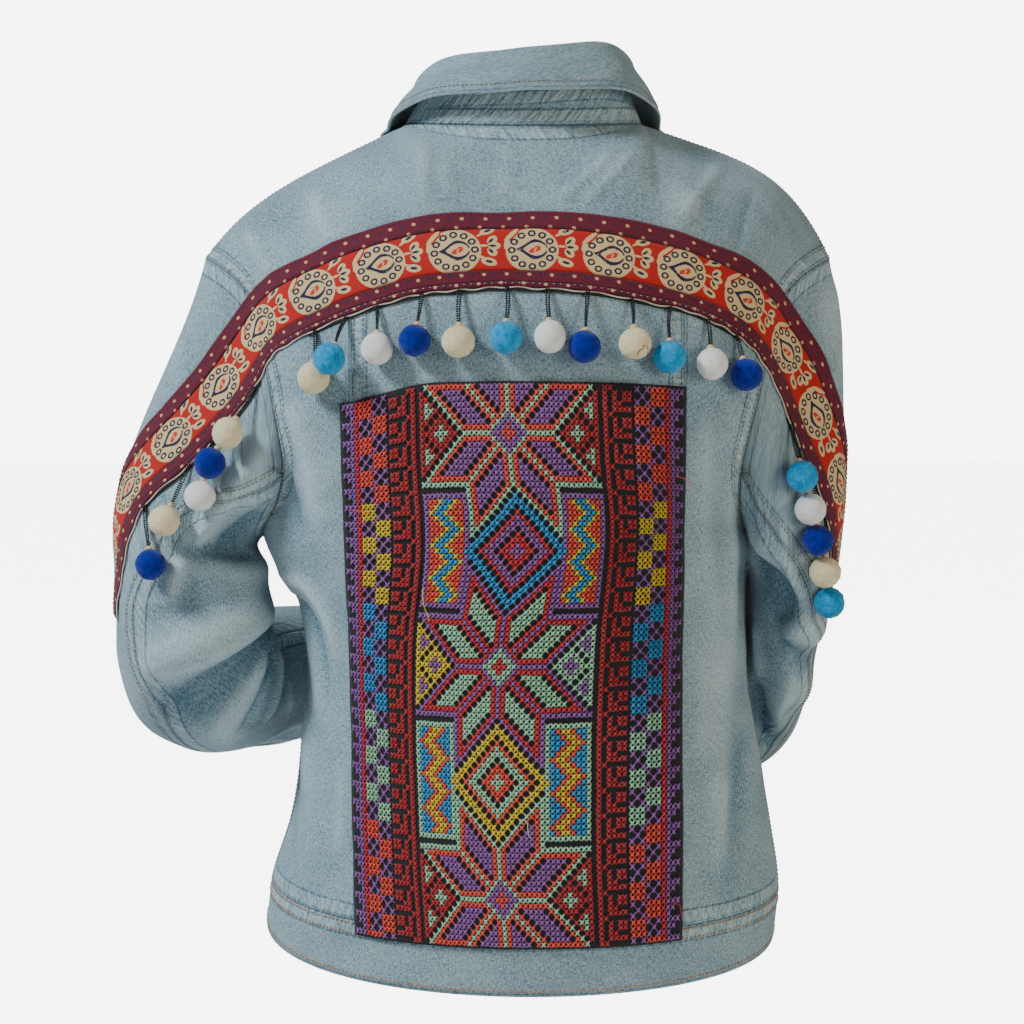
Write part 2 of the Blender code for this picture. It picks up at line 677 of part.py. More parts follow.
def lift_clear(points, normals, tree, gap, rounds=14):
    """Move a grid of points out until the cloth between them clears the cloth below."""
    points = points.copy()
    steps = (0, 0.25, 0.5, 0.75, 1)
    inner = [(u, v) for u in steps for v in steps]
    for _ in range(rounds):
        need = np.zeros(points.shape[:2])
        for j in range(points.shape[0] - 1):
            for i in range(points.shape[1] - 1):
                corner = points[j:j + 2, i:i + 2]
                for u, v in inner:
                    row_low = corner[0, 0] * (1 - u) + corner[0, 1] * u
                    row_high = corner[1, 0] * (1 - u) + corner[1, 1] * u
                    probe = row_low * (1 - v) + row_high * v
                    place, normal = snap(tree, probe)
                    short = gap - float(np.dot(probe - place, normal))
                    if short > 0:
                        need[j:j + 2, i:i + 2] = np.maximum(need[j:j + 2, i:i + 2], short)
        if need.max() < 2e-5:
            break
        points += normals * (need * 0.7)[..., None]
    return points


def grid_normals(points, like):
    along_i = np.gradient(points, axis=1)
    along_j = np.gradient(points, axis=0)
    normals = unit(np.cross(along_i, along_j))
    facing = np.sign(np.sum(normals * like, axis=-1, keepdims=True))
    return normals * np.where(facing == 0, 1.0, facing)


for old in list(bpy.data.objects):
    bpy.data.objects.remove(old, do_unlink=True)
JACKET = collection("embroidered_denim_jacket")

# Body of the jacket: yoke, back, fronts. Pieces that meet share their rows or columns
ARMHOLE_UPS = (1.0, 1.10, 1.24, 1.42, 1.62, 1.82, 2.0)
YOKE_UPS = (2.0, 2.2, 2.4, 2.6, 2.8, 3.0)
BODY_UPS = (0.15, 0.235, 0.32, 0.40, 0.48, 0.56, 0.64, 0.74, 0.84, 0.92) + ARMHOLE_UPS
FRONT_UPS = (0.15, 0.25, 0.36, 0.48, 0.60, 0.72, 0.84, 0.92) + ARMHOLE_UPS + YOKE_UPS[1:]
NECK_COLUMNS = 6
SHOULDER_COLUMNS = (0.52, 0.64, 0.76, 0.88, 1.0)
HALF_COLUMNS = tuple(NECK_SHARE * k / NECK_COLUMNS for k in range(NECK_COLUMNS + 1)) + SHOULDER_COLUMNS
YOKE_COLUMNS = tuple(-value for value in HALF_COLUMNS[:0:-1]) + HALF_COLUMNS


def chosen(values):
    """Columns at fixed shares across."""
    return lambda share, up: np.interp(share, shares(0, 1, len(values) - 1), values)


yoke = body_piece("back_yoke", "back", chosen(YOKE_COLUMNS), YOKE_UPS, len(YOKE_COLUMNS) - 1, CLOTH,
                  ("start", "end", "low", "high"))


def back_middle(share, up):
    left = across_at("back", -PRINCESS_X, up)
    return left + (across_at("back", PRINCESS_X, up) - left) * share


back_center = body_piece("back_center", "back", back_middle, BODY_UPS, 8, CLOTH,
                         ("start", "end", "low", "high"))


def back_side(sign):
    def columns(share, up):
        seam = across_at("back", sign * PRINCESS_X, up)
        return seam + (sign - seam) * share
    return columns


FRONT_COLUMNS = HALF_COLUMNS[2:]


def front_half(sign):
    def columns(share, up):
        values = sign * np.interp(share, shares(0, 1, len(FRONT_COLUMNS)), (0.0,) + FRONT_COLUMNS)
        return np.where(share == 0, across_at("front", sign * BAND_HALF, up), values)
    return columns


TOP_BAND_LIFT = CLOTH + LAY_GAP


def rise_to_band(points):
    """The wearer's right front rises to meet the band that lies on top."""
    return TOP_BAND_LIFT * ease((0.050 - points[..., 0]) / 0.028)


backs, fronts = [], []
for side, sign in SIDES.items():
    backs.append(body_piece("back_side_" + side, "back", back_side(sign), BODY_UPS, 5, CLOTH,
                            ("start", "end", "low", "high")))
    fronts.append(body_piece("front_" + side, "front", front_half(sign), FRONT_UPS, len(FRONT_COLUMNS), CLOTH,
                             ("start", "end", "low", "high"), lift=rise_to_band if side == "right" else None))


def front_band(share, up):
    left = across_at("front", -BAND_HALF, up)
    return left + (across_at("front", BAND_HALF, up) - left) * share


band_under = body_piece("button_band_left", "front", front_band, FRONT_UPS, 2, CLOTH,
                        ("start", "low", "high"))
band_top = body_piece("button_band_right", "front", front_band, FRONT_UPS, 2, CLOTH,
                      ("end", "low", "high"), lift=lambda points: np.full(points.shape[:2], TOP_BAND_LIFT))

# Waistband: one band round the body, its right end over its left end
WAISTBAND_LIFT = DOUBLE_CLOTH + LAY_GAP
HEM_LAP = 0.019


def hem_loop(share, up):
    """share runs from the left end, round the back, to the right end that lies on top."""
    lap = np.abs(across_at("front", HEM_LAP, up))
    travel = lap + share * (-4.0 - 2 * lap)
    quarter = -travel
    front_first = np.where(quarter <= 1, travel, 0)
    points = np.zeros(share.shape + (3,))
    normals = np.zeros(share.shape + (3,))
    for face, inside, across in (
            ("front", quarter <= 1, front_first),
            ("back", (quarter > 1) & (quarter < 3), quarter - 2),
            ("front", quarter >= 3, 4 - quarter)):
        some_points, some_normals = body(face, np.clip(across, -1, 1), up)
        points[inside] = some_points[inside]
        normals[inside] = some_normals[inside]
    over = (quarter >= 3) * ease((0.056 - points[..., 0]) / 0.032)
    return points + normals * (over * WAISTBAND_LIFT)[..., None], normals


share, up = np.meshgrid(shares(0, 1, 56), shares(HEM_UP, WAISTBAND_UP, 3))
points, normals = hem_loop(share, up)
hem_points = pull_in(points, ("high",))
waistband = add_object("waistband", cloth_mesh("waistband", hem_points, normals, DOUBLE_CLOTH), "denim")

# Sleeves in two pieces each, cut at the armhole's own points
ARMHOLE_ALL = ARMHOLE_UPS + YOKE_UPS[1:]
BACK_SEAM_UP = 1.42
INNER_SEAM_UP = 1.10


def turn_of(side, face, up):
    """The share of the way round the armhole at a height of the body."""
    keys = ARMHOLES[side][0]
    ups = np.linspace(SHOULDER_UP, ARMPIT_UP, 161)
    if face == "back":
        return float(np.interp(-up, -ups, keys[:161]))
    return float(np.interp(up, ups[::-1], keys[160:]))


def back_seam(along):
    return from_table(BACK_SEAM, "turn", along)


sleeves, cuffs = [], []
for side in SIDES:
    last = ARM[side][-2].along
    alongs = np.concatenate([shares(0, 1, 6)[:-1], shares(1, 5, 8)[:-1], shares(5, last, int(last - 5))])
    around = [turn_of(side, "front", up) - 1 for up in ARMHOLE_ALL if up >= INNER_SEAM_UP]
    around += [turn_of(side, "back", up) for up in ARMHOLE_ALL[-2::-1] if up >= BACK_SEAM_UP]
    sleeves.append(sleeve_piece("sleeve_upper_" + side, side, around,
                                lambda along: (along * 0 + INNER_SEAM - 1, back_seam(along)), alongs, CLOTH))
    around = [turn_of(side, "back", up) for up in ARMHOLE_ALL[::-1] if up <= BACK_SEAM_UP]
    around += [turn_of(side, "front", up) for up in ARMHOLE_ALL[1:] if up <= INNER_SEAM_UP]
    sleeves.append(sleeve_piece("sleeve_under_" + side, side, around,
                                lambda along: (back_seam(along), along * 0 + INNER_SEAM), alongs, CLOTH))

# Cuffs: one band each, its end lapped over its start
CUFF_LAP = 0.07
CUFF_START = 0.42
CUFF_LIFT = DOUBLE_CLOTH + 0.0010
lap_columns = [0, CUFF_LAP / 2]
cuff_columns = np.array(lap_columns + list(np.linspace(CUFF_LAP, 1 - CUFF_LAP, 17))
                        + [1 - CUFF_LAP / 2, 1, 1 + CUFF_LAP / 2, 1 + CUFF_LAP])
for side in SIDES:
    column, along = np.meshgrid(cuff_columns, shares(ARM[side][-2].along, ARM[side][-1].along, 2))
    turn = CUFF_START + column
    points, normals = sleeve_plain(side, turn, along), sleeve_normal(side, turn, along)
    over = ease((column - 1 + CUFF_LAP) / CUFF_LAP)
    points = points + normals * (over * CUFF_LIFT)[..., None]
    points = pull_in(points, ("low",))
    name = "cuff_" + side
    cuffs.append(add_object(name, cloth_mesh(name, points, normals, DOUBLE_CLOTH), "denim"))


# Collar: a stand on the neck seam, and a leaf that folds over it

def ring_outward(turn):
    step = 0.01
    along = unit(neck_ring(np.asarray(turn) + step) - neck_ring(np.asarray(turn) - step))
    flat = along * np.array([1.0, 1.0, 0.0])
    outward = np.stack([flat[..., 1], -flat[..., 0], 0 * flat[..., 0]], axis=-1)
    return unit(outward)


def collar_point(turn, out, rise):
    return neck_ring(turn) + ring_outward(turn) * out[..., None] + np.array([0, 0, 1.0]) * rise[..., None]


def end_turn(x):
    """How far round the neck seam a collar's end stands at the edge of the front band."""
    return 1 - math.asin(abs(x - NECK_SHIFT) / NECK_HALF) / math.pi


COLLAR_TURNS = ([-end_turn(-BAND_HALF)] + [k / (2 * NECK_COLUMNS) for k in range(-10, 11)]
                + [end_turn(BAND_HALF)])


def stand_surface(turn, rise_share):
    size = np.abs(turn)
    out = from_table(COLLAR, "top_out", size) * rise_share
    tilt = COLLAR_TILT * np.sin(math.pi * turn)
    rise = (from_table(COLLAR, "top_up", size) + tilt - 4 * SEAM_GAP) * rise_share + SEAM_GAP * 2
    return collar_point(turn, out, rise)


LEAF_WAYS = (0.0, 0.25, 0.38, 0.45, 0.52, 0.60, 0.80, 1.0)


def leaf_surface(turn, way):
    """way runs from the top of the stand (0) over the fold to the free edge (1)."""
    size = np.abs(turn)
    tilt = COLLAR_TILT * np.sin(math.pi * turn)
    top_out = from_table(COLLAR, "top_out", size) - 0.0026
    top_up = from_table(COLLAR, "top_up", size) + tilt + 2 * SEAM_GAP
    fold_out, fold_up = from_table(COLLAR, "fold_out", size), from_table(COLLAR, "fold_up", size) + 2 * tilt
    edge_out, edge_up = from_table(COLLAR, "edge_out", size), from_table(COLLAR, "edge_up", size) + tilt
    r = FOLD_RADIUS
    outs = (top_out, fold_out - r, fold_out - 0.7 * r, fold_out, fold_out + 0.7 * r, fold_out + r,
            (fold_out + r + edge_out) / 2 + 0.0020, edge_out)
    rises = (top_up, fold_up - 1.2 * r, fold_up - 0.3 * r, fold_up, fold_up - 0.3 * r, fold_up - 1.2 * r,
             (fold_up - 1.2 * r + edge_up) / 2, edge_up)
    out = np.zeros(turn.shape)
    rise = np.zeros(turn.shape)
    for spot in np.ndindex(turn.shape):
        out[spot] = np.interp(way[spot], LEAF_WAYS, [o[spot] for o in outs])
        rise[spot] = np.interp(way[spot], LEAF_WAYS, [r[spot] for r in rises])
    return collar_point(turn, out, rise)


turn, rise_share = np.meshgrid(COLLAR_TURNS, shares(0, 1, 2))
points = stand_surface(turn, rise_share)
normals = grid_normals(points, ring_outward(turn))
collar_stand = add_object("collar_stand", cloth_mesh("collar_stand", points, normals, DOUBLE_CLOTH), "denim")

LEAF_CLOTH = 0.0017
turn, way = np.meshgrid(COLLAR_TURNS, LEAF_WAYS)
points = leaf_surface(turn, way)
normals = unit(np.cross(np.gradient(points, axis=1), np.gradient(points, axis=0)))
middle = points.shape[1] // 2
if np.dot(normals[-1, middle], ring_outward(np.array(0.0))) < 0:
    normals = -normals
fall = points[5:] - normals[5:] * LEAF_CLOTH
away = unit(ring_outward(turn[5:]) + np.array([0, 0, 0.8]))
lifted = lift_clear(fall, away, surface_tree([yoke, band_under, band_top] + fronts), 4 * LAY_GAP)
points[5:] += lifted - fall
collar_leaf = add_object("collar_leaf", cloth_mesh("collar_leaf", points, normals, LEAF_CLOTH), "denim")

# Buttons of the front and cuffs
BUTTON_RADIUS = 0.0085
BUTTON_HEIGHT = 0.0032


def button(name, place, normal, lift):
    bpy.ops.mesh.primitive_cylinder_add(vertices=20, radius=BUTTON_RADIUS, depth=BUTTON_HEIGHT)
    made = bpy.context.object
    made.name = name
    made.data.name = name
    made.location = Vector(place + normal * (lift + BUTTON_HEIGHT / 2))
    made.rotation_mode = "QUATERNION"
    made.rotation_quaternion = Vector(normal).to_track_quat("Z", "Y")
    made.data.materials.append(material(name, "brass", 0.35, 1.0))
    for linked in list(made.users_collection):
        linked.objects.unlink(made)
    JACKET.objects.link(made)
    return made


FRONT_BUTTON_UPS = (0.36, 0.74, 1.16, 1.84, 2.62)
for number, up in enumerate(FRONT_BUTTON_UPS, 1):
    place, normal = body("front", np.array(0.0), np.array(up))
    button(f"button_{number}", place, normal, TOP_BAND_LIFT + 0.0005)
place, normal = body("front", np.array(0.0), np.array(WAISTBAND_UP / 2))
button("button_6", place, normal, WAISTBAND_LIFT + 0.0005)
for side in SIDES:
    turn = np.array(CUFF_START + 1 + CUFF_LAP * 0.55)
    along = np.array(ARM[side][-1].along - 0.5)
    button("cuff_button_" + side, sleeve_plain(side, turn, along), sleeve_normal(side, turn, along),
           DOUBLE_CLOTH + 0.0022)

# Embroidered panel: the points of the back, moved out
def up_at_height(z):
    ups = np.linspace(0, 2, 401)
    heights = from_table(MIDDLE["back"], "z", ups)
    return float(np.interp(z, heights, ups))


panel_top, panel_bottom = up_at_height(PANEL_TOP_Z), up_at_height(PANEL_BOTTOM_Z)
panel_ups = [panel_bottom] + [up for up in BODY_UPS if panel_bottom < up < panel_top - 0.02] + [panel_top]


def panel_place(share, up):
    """Columns between the panel's own side lines; its left corner droops a little."""
    high = (up - panel_bottom) / (panel_top - panel_bottom)
    up = up - PANEL_DROOP * ease((0.30 - share) / 0.30) * ease((high - 0.6) / 0.4)
    left_x = PANEL_LEFT_LOW_X + (PANEL_LEFT_TOP_X - PANEL_LEFT_LOW_X) * high
    left = across_at("back", left_x, up)
    return left + (across_at("back", PANEL_RIGHT_X, up) - left) * share, up


PANEL_CLOTH = 0.0012
share, up = np.meshgrid(shares(0, 1, 8), panel_ups)
across, up = panel_place(share, up)
points, normals = body("back", across, up)
under_panel = surface_tree([back_center, waistband] + backs)
points = lift_clear(points + normals * LAY_GAP, normals, under_panel, LAY_GAP)
points = points + normals * PANEL_CLOTH
panel_mesh = cloth_mesh("embroidered_panel", points, normals, PANEL_CLOTH)
panel = add_object("embroidered_panel", panel_mesh, "ground")

# Braid: marched over the finished cloth, then parted into border, printed band and border
cloth_tree = surface_tree([yoke, back_center] + backs + fronts + sleeves)


def braid_middle(count):
    spots = np.array([(stop.x, stop.y, stop.z) for stop in BRAID_LINE])
    keys = np.concatenate([[0], np.cumsum(np.linalg.norm(np.diff(spots, axis=0), axis=1))])
    fine = np.linspace(0, keys[-1], 400)
    line = np.stack([smooth(keys, spots[:, k], fine) for k in range(3)], axis=-1)
    travelled = np.concatenate([[0], np.cumsum(np.linalg.norm(np.diff(line, axis=0), axis=1))])
    even = np.linspace(0, travelled[-1], count + 1)
    return np.stack([np.interp(even, travelled, line[:, k]) for k in range(3)], axis=-1)


def march(tree, start, direction, distance, steps):
    """Walk over the cloth from start; returns the points passed."""
    place, normal = snap(tree, start)
    passed = [place]
    for _ in range(steps):
        direction = unit(direction - normal * np.dot(direction, normal))
        place, normal = snap(tree, place + direction * distance / steps)
        passed.append(place)
    return passed


BRAID_COUNT = 54
BRAID_COLUMNS = (0.0, BORDER_TOP_SHARE, 0.50, BORDER_LOW_SHARE, 1.0)


def braid_grid(tree, count):
    middle = braid_middle(count)
    tangent = unit(np.gradient(middle, axis=0))
    rows = []
    for k in range(count + 1):
        place, normal = snap(tree, middle[k])
        down = unit(np.cross(tangent[k], normal))
        upper = march(tree, middle[k], -down, BRAID_WIDTH / 2, 8)
        lower = march(tree, middle[k], down, BRAID_WIDTH / 2, 8)
        rows.append(np.array(upper[::-1] + lower[1:]))
    return np.array(rows)


def resample(row, cuts):
    spots = np.linspace(0, 1, len(row))
    return np.stack([np.interp(cuts, spots, row[:, k]) for k in range(3)], axis=-1)


def relax(points, rounds=3):
    """Even out small steps along the braid's length."""
    for _ in range(rounds):
        points[1:-1] = 0.5 * points[1:-1] + 0.25 * (points[:-2] + points[2:])
    return points


braid_rows = relax(braid_grid(cloth_tree, BRAID_COUNT))
braid_points = np.array([resample(row, BRAID_COLUMNS) for row in braid_rows])
outward_hint = np.array([[snap(cloth_tree, p)[1] for p in row] for row in braid_points])
braid_normals = grid_normals(braid_points, outward_hint)
BRAID_LAY = 0.0005
braid_points = lift_clear(braid_points + braid_normals * BRAID_LAY, braid_normals, cloth_tree, BRAID_LAY)
braid_outer = braid_points + braid_normals * BRAID_CLOTH
STRIPS = (("braid_border_upper", 0, 1, "maroon"), ("braid_print", 1, 3, "red_print"),
          ("braid_border_lower", 3, 4, "maroon"))
strips = []
for name, first, last, colour in STRIPS:
    sides = [edge for edge, cut in (("start", first), ("end", last)) if cut not in (0, 4)]
    strip = pull_in(braid_outer[:, first:last + 1], sides)
    strip_mesh = cloth_mesh(name, strip, braid_normals[:, first:last + 1], BRAID_CLOTH)
    strips.append(add_object(name, strip_mesh, colour))

# Tape along the braid's lower edge with its bead strings, and the pompoms they hold
TAPE_WIDTH = 0.0030
TAPE_THICK = 0.0016
all_tree = surface_tree([yoke, back_center, panel] + backs + fronts + sleeves + strips)


def edge_at(at):
    """Place, outward and downward directions at a row of the braid's lower edge."""
    rows = np.arange(BRAID_COUNT + 1)
    pick = lambda grid: np.array([np.interp(at, rows, grid[:, k]) for k in range(3)])
    place = pick(braid_points[:, -1])
    outward = unit(pick(braid_normals[:, -1]))
    along = unit(pick(np.gradient(braid_points[:, -1], axis=0)))
    down = unit(np.cross(along, outward))
    return place, outward, down


def row_of(side, root):
    """The row of the braid whose lower edge is at the root of a string."""
    edge = braid_points[:, -1]
    half = BRAID_COUNT // 2
    if side == "back":
        return float(np.interp(root, edge[:, 0], np.arange(BRAID_COUNT + 1)))
    if side == "left":
        return float(np.interp(root, edge[:half, 2], np.arange(half)))
    return float(np.interp(-root, -edge[half:, 2], np.arange(half, BRAID_COUNT + 1)))


def joined(base, pieces, name):
    """Unite loose pieces with a base mesh object, one closed body."""
    for piece in pieces:
        union = base.modifiers.new("union", "BOOLEAN")
        union.operation = "UNION"
        union.solver = "EXACT"
        union.object = piece
    depsgraph = bpy.context.evaluated_depsgraph_get()
    mesh = bpy.data.meshes.new_from_object(base.evaluated_get(depsgraph))
    mesh.name = name
    base.modifiers.clear()
    old = base.data
    base.data = mesh
    bpy.data.meshes.remove(old)
    for piece in pieces:
        piece_mesh = piece.data
        bpy.data.objects.remove(piece, do_unlink=True)
        bpy.data.meshes.remove(piece_mesh)
    return base


def rod(name, start, end, width):
    """A four-sided string of beads from start to end."""
    run = Vector(end - start)
    half = width / 2
    rod_mesh = bmesh.new()
    bmesh.ops.create_cone(rod_mesh, cap_ends=True, segments=4, radius1=half, radius2=half, depth=run.length)
    turn = run.to_track_quat("Z", "Y").to_matrix().to_4x4()
    bmesh.ops.transform(rod_mesh, matrix=turn, verts=rod_mesh.verts[:])
    bmesh.ops.translate(rod_mesh, vec=Vector((start + end) / 2), verts=rod_mesh.verts[:])
    mesh = bpy.data.meshes.new(name)
    rod_mesh.to_mesh(mesh)
    rod_mesh.free()
    made = bpy.data.objects.new(name, mesh)
    made.display_type = "WIRE"
    made.hide_render = True
    GUIDES.objects.link(made)
    return made


def ball_place(tree, pompom, clear, others):
    """The middle of a ball that hangs against the cloth behind it, clear of the balls before it."""
    centre = np.array([pompom.x, -0.30, pompom.z])
    hit, normal, index, distance = tree.ray_cast(Vector(centre), Vector((0, 1, 0)))
    centre[1] = hit.y - clear
    for _ in range(40):
        near, normal = snap(tree, centre)
        short = clear - float(np.linalg.norm(centre - near))
        for other in others:
            aside = (centre[0] - other[0])**2 + (centre[2] - other[2])**2
            apart = math.sqrt(max(BALLS_APART**2 - aside, 0.0))
            if abs(centre[1] - other[1]) < apart:
                short = max(short, centre[1] - other[1] + apart)
        if short < 1e-5:
            break
        centre[1] -= max(short, 2e-5)
    return centre


def clear_of_strings(centres, roots):
    """Move balls back from the cloth until other strings and balls pass clear of them."""
    moved = False
    for k, centre in enumerate(centres):
        for other, root in enumerate(roots):
            if other == k:
                continue
            run = centres[other] - root
            share = np.clip(np.dot(centre - root, run) / np.dot(run, run), 0, 1)
            near_string = np.linalg.norm(centre - root - run * share) < POMPOM_RADIUS + STRING_WIDTH
            near_ball = np.linalg.norm(centre - centres[other]) < BALLS_APART
            if (near_string and share < 0.9) or (near_ball and centre[1] < centres[other][1]):
                centre[1] -= 0.0004
                moved = True
    return moved


def pompom_ball(name, centre, colour):
    bpy.ops.mesh.primitive_ico_sphere_add(subdivisions=2, radius=POMPOM_RADIUS, location=Vector(centre))
    ball = bpy.context.object
    ball.name = name
    ball.data.name = name
    ball.data.shade_smooth()
    ball.data.materials.append(material(name, colour, 0.95))
    for linked in list(ball.users_collection):
        linked.objects.unlink(ball)
    JACKET.objects.link(ball)


GUIDES = collection("string_guides")
GUIDES.hide_render = True
BALL_CLEAR = POMPOM_RADIUS + 0.0006
BALLS_APART = 2 * POMPOM_RADIUS + 0.0004
STRING_END_GAP = 0.0001
TAPE_PAST = 0.35
number = 0
for side, pompoms, colours in (("left", LEFT_POMPOMS, LEFT_COLOURS), ("back", BACK_POMPOMS, BACK_COLOURS),
                               ("right", RIGHT_POMPOMS, RIGHT_COLOURS)):
    roots = [row_of(side, pompom.root) for pompom in pompoms]
    first, last = min(roots) - TAPE_PAST, max(roots) + TAPE_PAST
    count = int(math.ceil(last - first))
    rows = []
    leans = []
    for at in np.linspace(first, last, count + 1):
        place, outward, down = edge_at(at)
        rows.append([place + down * 0.0004, place + down * (0.0004 + TAPE_WIDTH)])
        leans.append([outward, outward])
    tape_points, tape_normals = np.array(rows), np.array(leans)
    tape_points = lift_clear(tape_points, tape_normals, all_tree, 0.0006)
    name = "tape_" + side
    tape_outer = tape_points + tape_normals * TAPE_THICK
    tape = add_object(name, cloth_mesh(name, tape_outer, tape_normals, TAPE_THICK), "black_bead")
    middle = tape_points.mean(axis=1) + tape_normals[:, 0] * TAPE_THICK * 0.5
    rods, placed, ends = [], [], []
    for pompom, colour, at in zip(pompoms, colours, roots):
        spot = np.clip((at - first) / (last - first), 0, 1) * count
        ends.append(np.array([np.interp(spot, np.arange(count + 1), middle[:, k]) for k in range(3)]))
        placed.append(ball_place(all_tree, pompom, BALL_CLEAR, placed))
    for _ in range(60):
        if not clear_of_strings(placed, ends):
            break
    for centre, root, colour in zip(placed, ends, colours):
        number += 1
        end = centre + unit(root - centre) * (POMPOM_RADIUS + STRING_END_GAP)
        rods.append(rod(f"string_{number:02d}", root, end, STRING_WIDTH))
        pompom_ball(f"pompom_{number:02d}", centre, colour)
    joined(tape, rods, name)
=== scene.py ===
import math
from collections import namedtuple
from functools import partial

import bmesh
import bpy
import numpy as np
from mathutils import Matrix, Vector
from mathutils.bvhtree import BVHTree


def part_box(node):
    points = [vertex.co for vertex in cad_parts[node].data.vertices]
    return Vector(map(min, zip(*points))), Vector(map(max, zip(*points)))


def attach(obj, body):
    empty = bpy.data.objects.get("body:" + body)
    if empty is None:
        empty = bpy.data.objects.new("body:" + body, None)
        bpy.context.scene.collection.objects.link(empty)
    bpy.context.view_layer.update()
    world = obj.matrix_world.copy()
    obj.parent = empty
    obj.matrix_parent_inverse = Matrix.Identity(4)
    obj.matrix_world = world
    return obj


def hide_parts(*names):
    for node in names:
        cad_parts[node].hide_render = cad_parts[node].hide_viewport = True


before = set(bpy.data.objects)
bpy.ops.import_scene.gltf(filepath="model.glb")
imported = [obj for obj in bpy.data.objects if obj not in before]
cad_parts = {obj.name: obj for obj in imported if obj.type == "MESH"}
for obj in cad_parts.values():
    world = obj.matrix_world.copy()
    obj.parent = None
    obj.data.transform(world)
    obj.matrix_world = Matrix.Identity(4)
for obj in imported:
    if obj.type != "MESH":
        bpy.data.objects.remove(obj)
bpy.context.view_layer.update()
scene = bpy.context.scene

# View, floor and light
# The jacket's back is seen from a little above its middle, in soft white studio light
# over a plain pale floor.
FLOOR_LEVEL = -0.80
FLOOR_GLOW = 6.2
ROOM_LIGHT = 0.13
ROOM_SEEN = 7.0
LOOK_AT = Vector((0, 0, -0.3))
Lamp = namedtuple("Lamp", "name x y z size watts colour")
LAMPS = (
    Lamp("key", -1.95, -1.0, 1.6, 0.6, 88, (0.88, 0.97, 1.0)),
    Lamp("fill", 2.0, -1.6, 0.1, 1.2, 25, (1.0, 0.90, 0.71)),
    Lamp("back", 0.6, 2.2, 1.6, 1.4, 10, (0.90, 0.97, 1.0)),
)


def feed(tree, socket, value):
    """Connect an output to a socket, or set the socket to a plain value."""
    if isinstance(value, bpy.types.NodeSocket):
        tree.links.new(value, socket)
    else:
        socket.default_value = value


def place_node(tree, kind, inputs=(), **settings):
    """A new node; inputs gives a plain value or another node's output for each of its sockets."""
    made = tree.nodes.new(kind)
    for setting, value in settings.items():
        setattr(made, setting, value)
    for label, value in dict(inputs).items():
        feed(tree, made.inputs[label], value)
    return made


def maths(operation, tree, *values, clamp=False):
    made = place_node(tree, "ShaderNodeMath", operation=operation, use_clamp=clamp)
    for socket, value in zip(made.inputs, values):
        feed(tree, socket, value)
    return made.outputs[0]


plus, minus, times, times_plus = (
    partial(maths, operation) for operation in ("ADD", "SUBTRACT", "MULTIPLY", "MULTIPLY_ADD"))


def new_material(name, **values):
    """A material; each value is set on the shader's own input of that name."""
    made = bpy.data.materials.new(name)
    made.use_nodes = True
    shader = made.node_tree.nodes["Principled BSDF"]
    for label, value in values.items():
        shader.inputs[label.replace("_", " ")].default_value = value
    return made, made.node_tree, shader.inputs


def add_object(name, data):
    made = bpy.data.objects.new(name, data)
    scene.collection.objects.link(made)
    return made


eye = bpy.data.cameras.new("view")
eye.lens = 84
eye.sensor_width = 36
view = add_object("view", eye)
view.location = (-0.004, -1.72, -0.092)
view.rotation_euler = (math.radians(84), 0, 0)
scene.camera = view

bpy.ops.mesh.primitive_circle_add(vertices=96, radius=7, fill_type="NGON", location=(0, 0, FLOOR_LEVEL))
floor = bpy.context.object
floor.name = "floor"
paint, tree, sockets = new_material(
    "floor_paint", Base_Color=(0.86, 0.86, 0.86, 1), Roughness=0.9, Emission_Color=(1, 1, 1, 1))
seen = place_node(tree, "ShaderNodeLightPath").outputs["Is Camera Ray"]
feed(tree, sockets["Emission Strength"], times(tree, seen, FLOOR_GLOW))
floor.data.materials.append(paint)

room = bpy.data.worlds.new("room")
room.use_nodes = True
tree = room.node_tree
sockets = tree.nodes["Background"].inputs
sockets["Color"].default_value = (1.0, 1.0, 1.0, 1)
seen = place_node(tree, "ShaderNodeLightPath").outputs["Is Camera Ray"]
levels = {"Value": seen, "To Min": ROOM_LIGHT, "To Max": ROOM_SEEN}
feed(tree, sockets["Strength"], place_node(tree, "ShaderNodeMapRange", levels).outputs["Result"])
scene.world = room

for lamp in LAMPS:
    light = bpy.data.lights.new(lamp.name, "AREA")
    light.size, light.energy, light.color = lamp.size, lamp.watts, lamp.colour
    holder = add_object(lamp.name, light)
    holder.location = (lamp.x, lamp.y, lamp.z)
    holder.rotation_euler = (LOOK_AT - holder.location).to_track_quat("-Z", "Y").to_euler()

# Back yoke
# Light washed denim, cut in one piece across the shoulders and sewn to the back, the fronts,
# the sleeves and the collar. The tables give the lines of the whole body of the jacket.
CLOTH = 0.0016
DOUBLE_CLOTH = 0.0030
WEAVE_MIDDLE = 0.665
WEAVE_CONTRAST = 2.7
SEAM_GAP = 0.0003
LAY_GAP = 0.0004
NECK_HALF = 0.084
NECK_SHIFT = 0.004
NECK_BACK = 0.066
NECK_FRONT = 0.080
NECK_SIDE_RISE = 0.004
NECK_FRONT_DROP = 0.089
NECK_FRONT_CURVE = 1.8
SHOULDER_HALF = 0.223
SHOULDER_DROP = 0.094
SHOULDER_SLOPE = {"left": 0.71, "right": 0.46}
NECK_SHARE = 0.42
FLATNESS = 0.88
HEM_TILT = -0.004
WAISTBAND_UP = 0.15
ARMPIT_UP = 1.0
YOKE_UP = 2.0
SHOULDER_UP = 3.0
SIDES = {"left": -1.0, "right": 1.0}

Edge = namedtuple("Edge", "up right left z back front")
Middle = namedtuple("Middle", "up y z")
Fold = namedtuple("Fold", "a b to_a to_b width height")
Crease = namedtuple("Crease", "a b mid_a mid_b to_a to_b width height")
CREASE_TAPER = 0.28
VALLEY_STEEP = 1.7
VALLEY_SOFT = 0.75


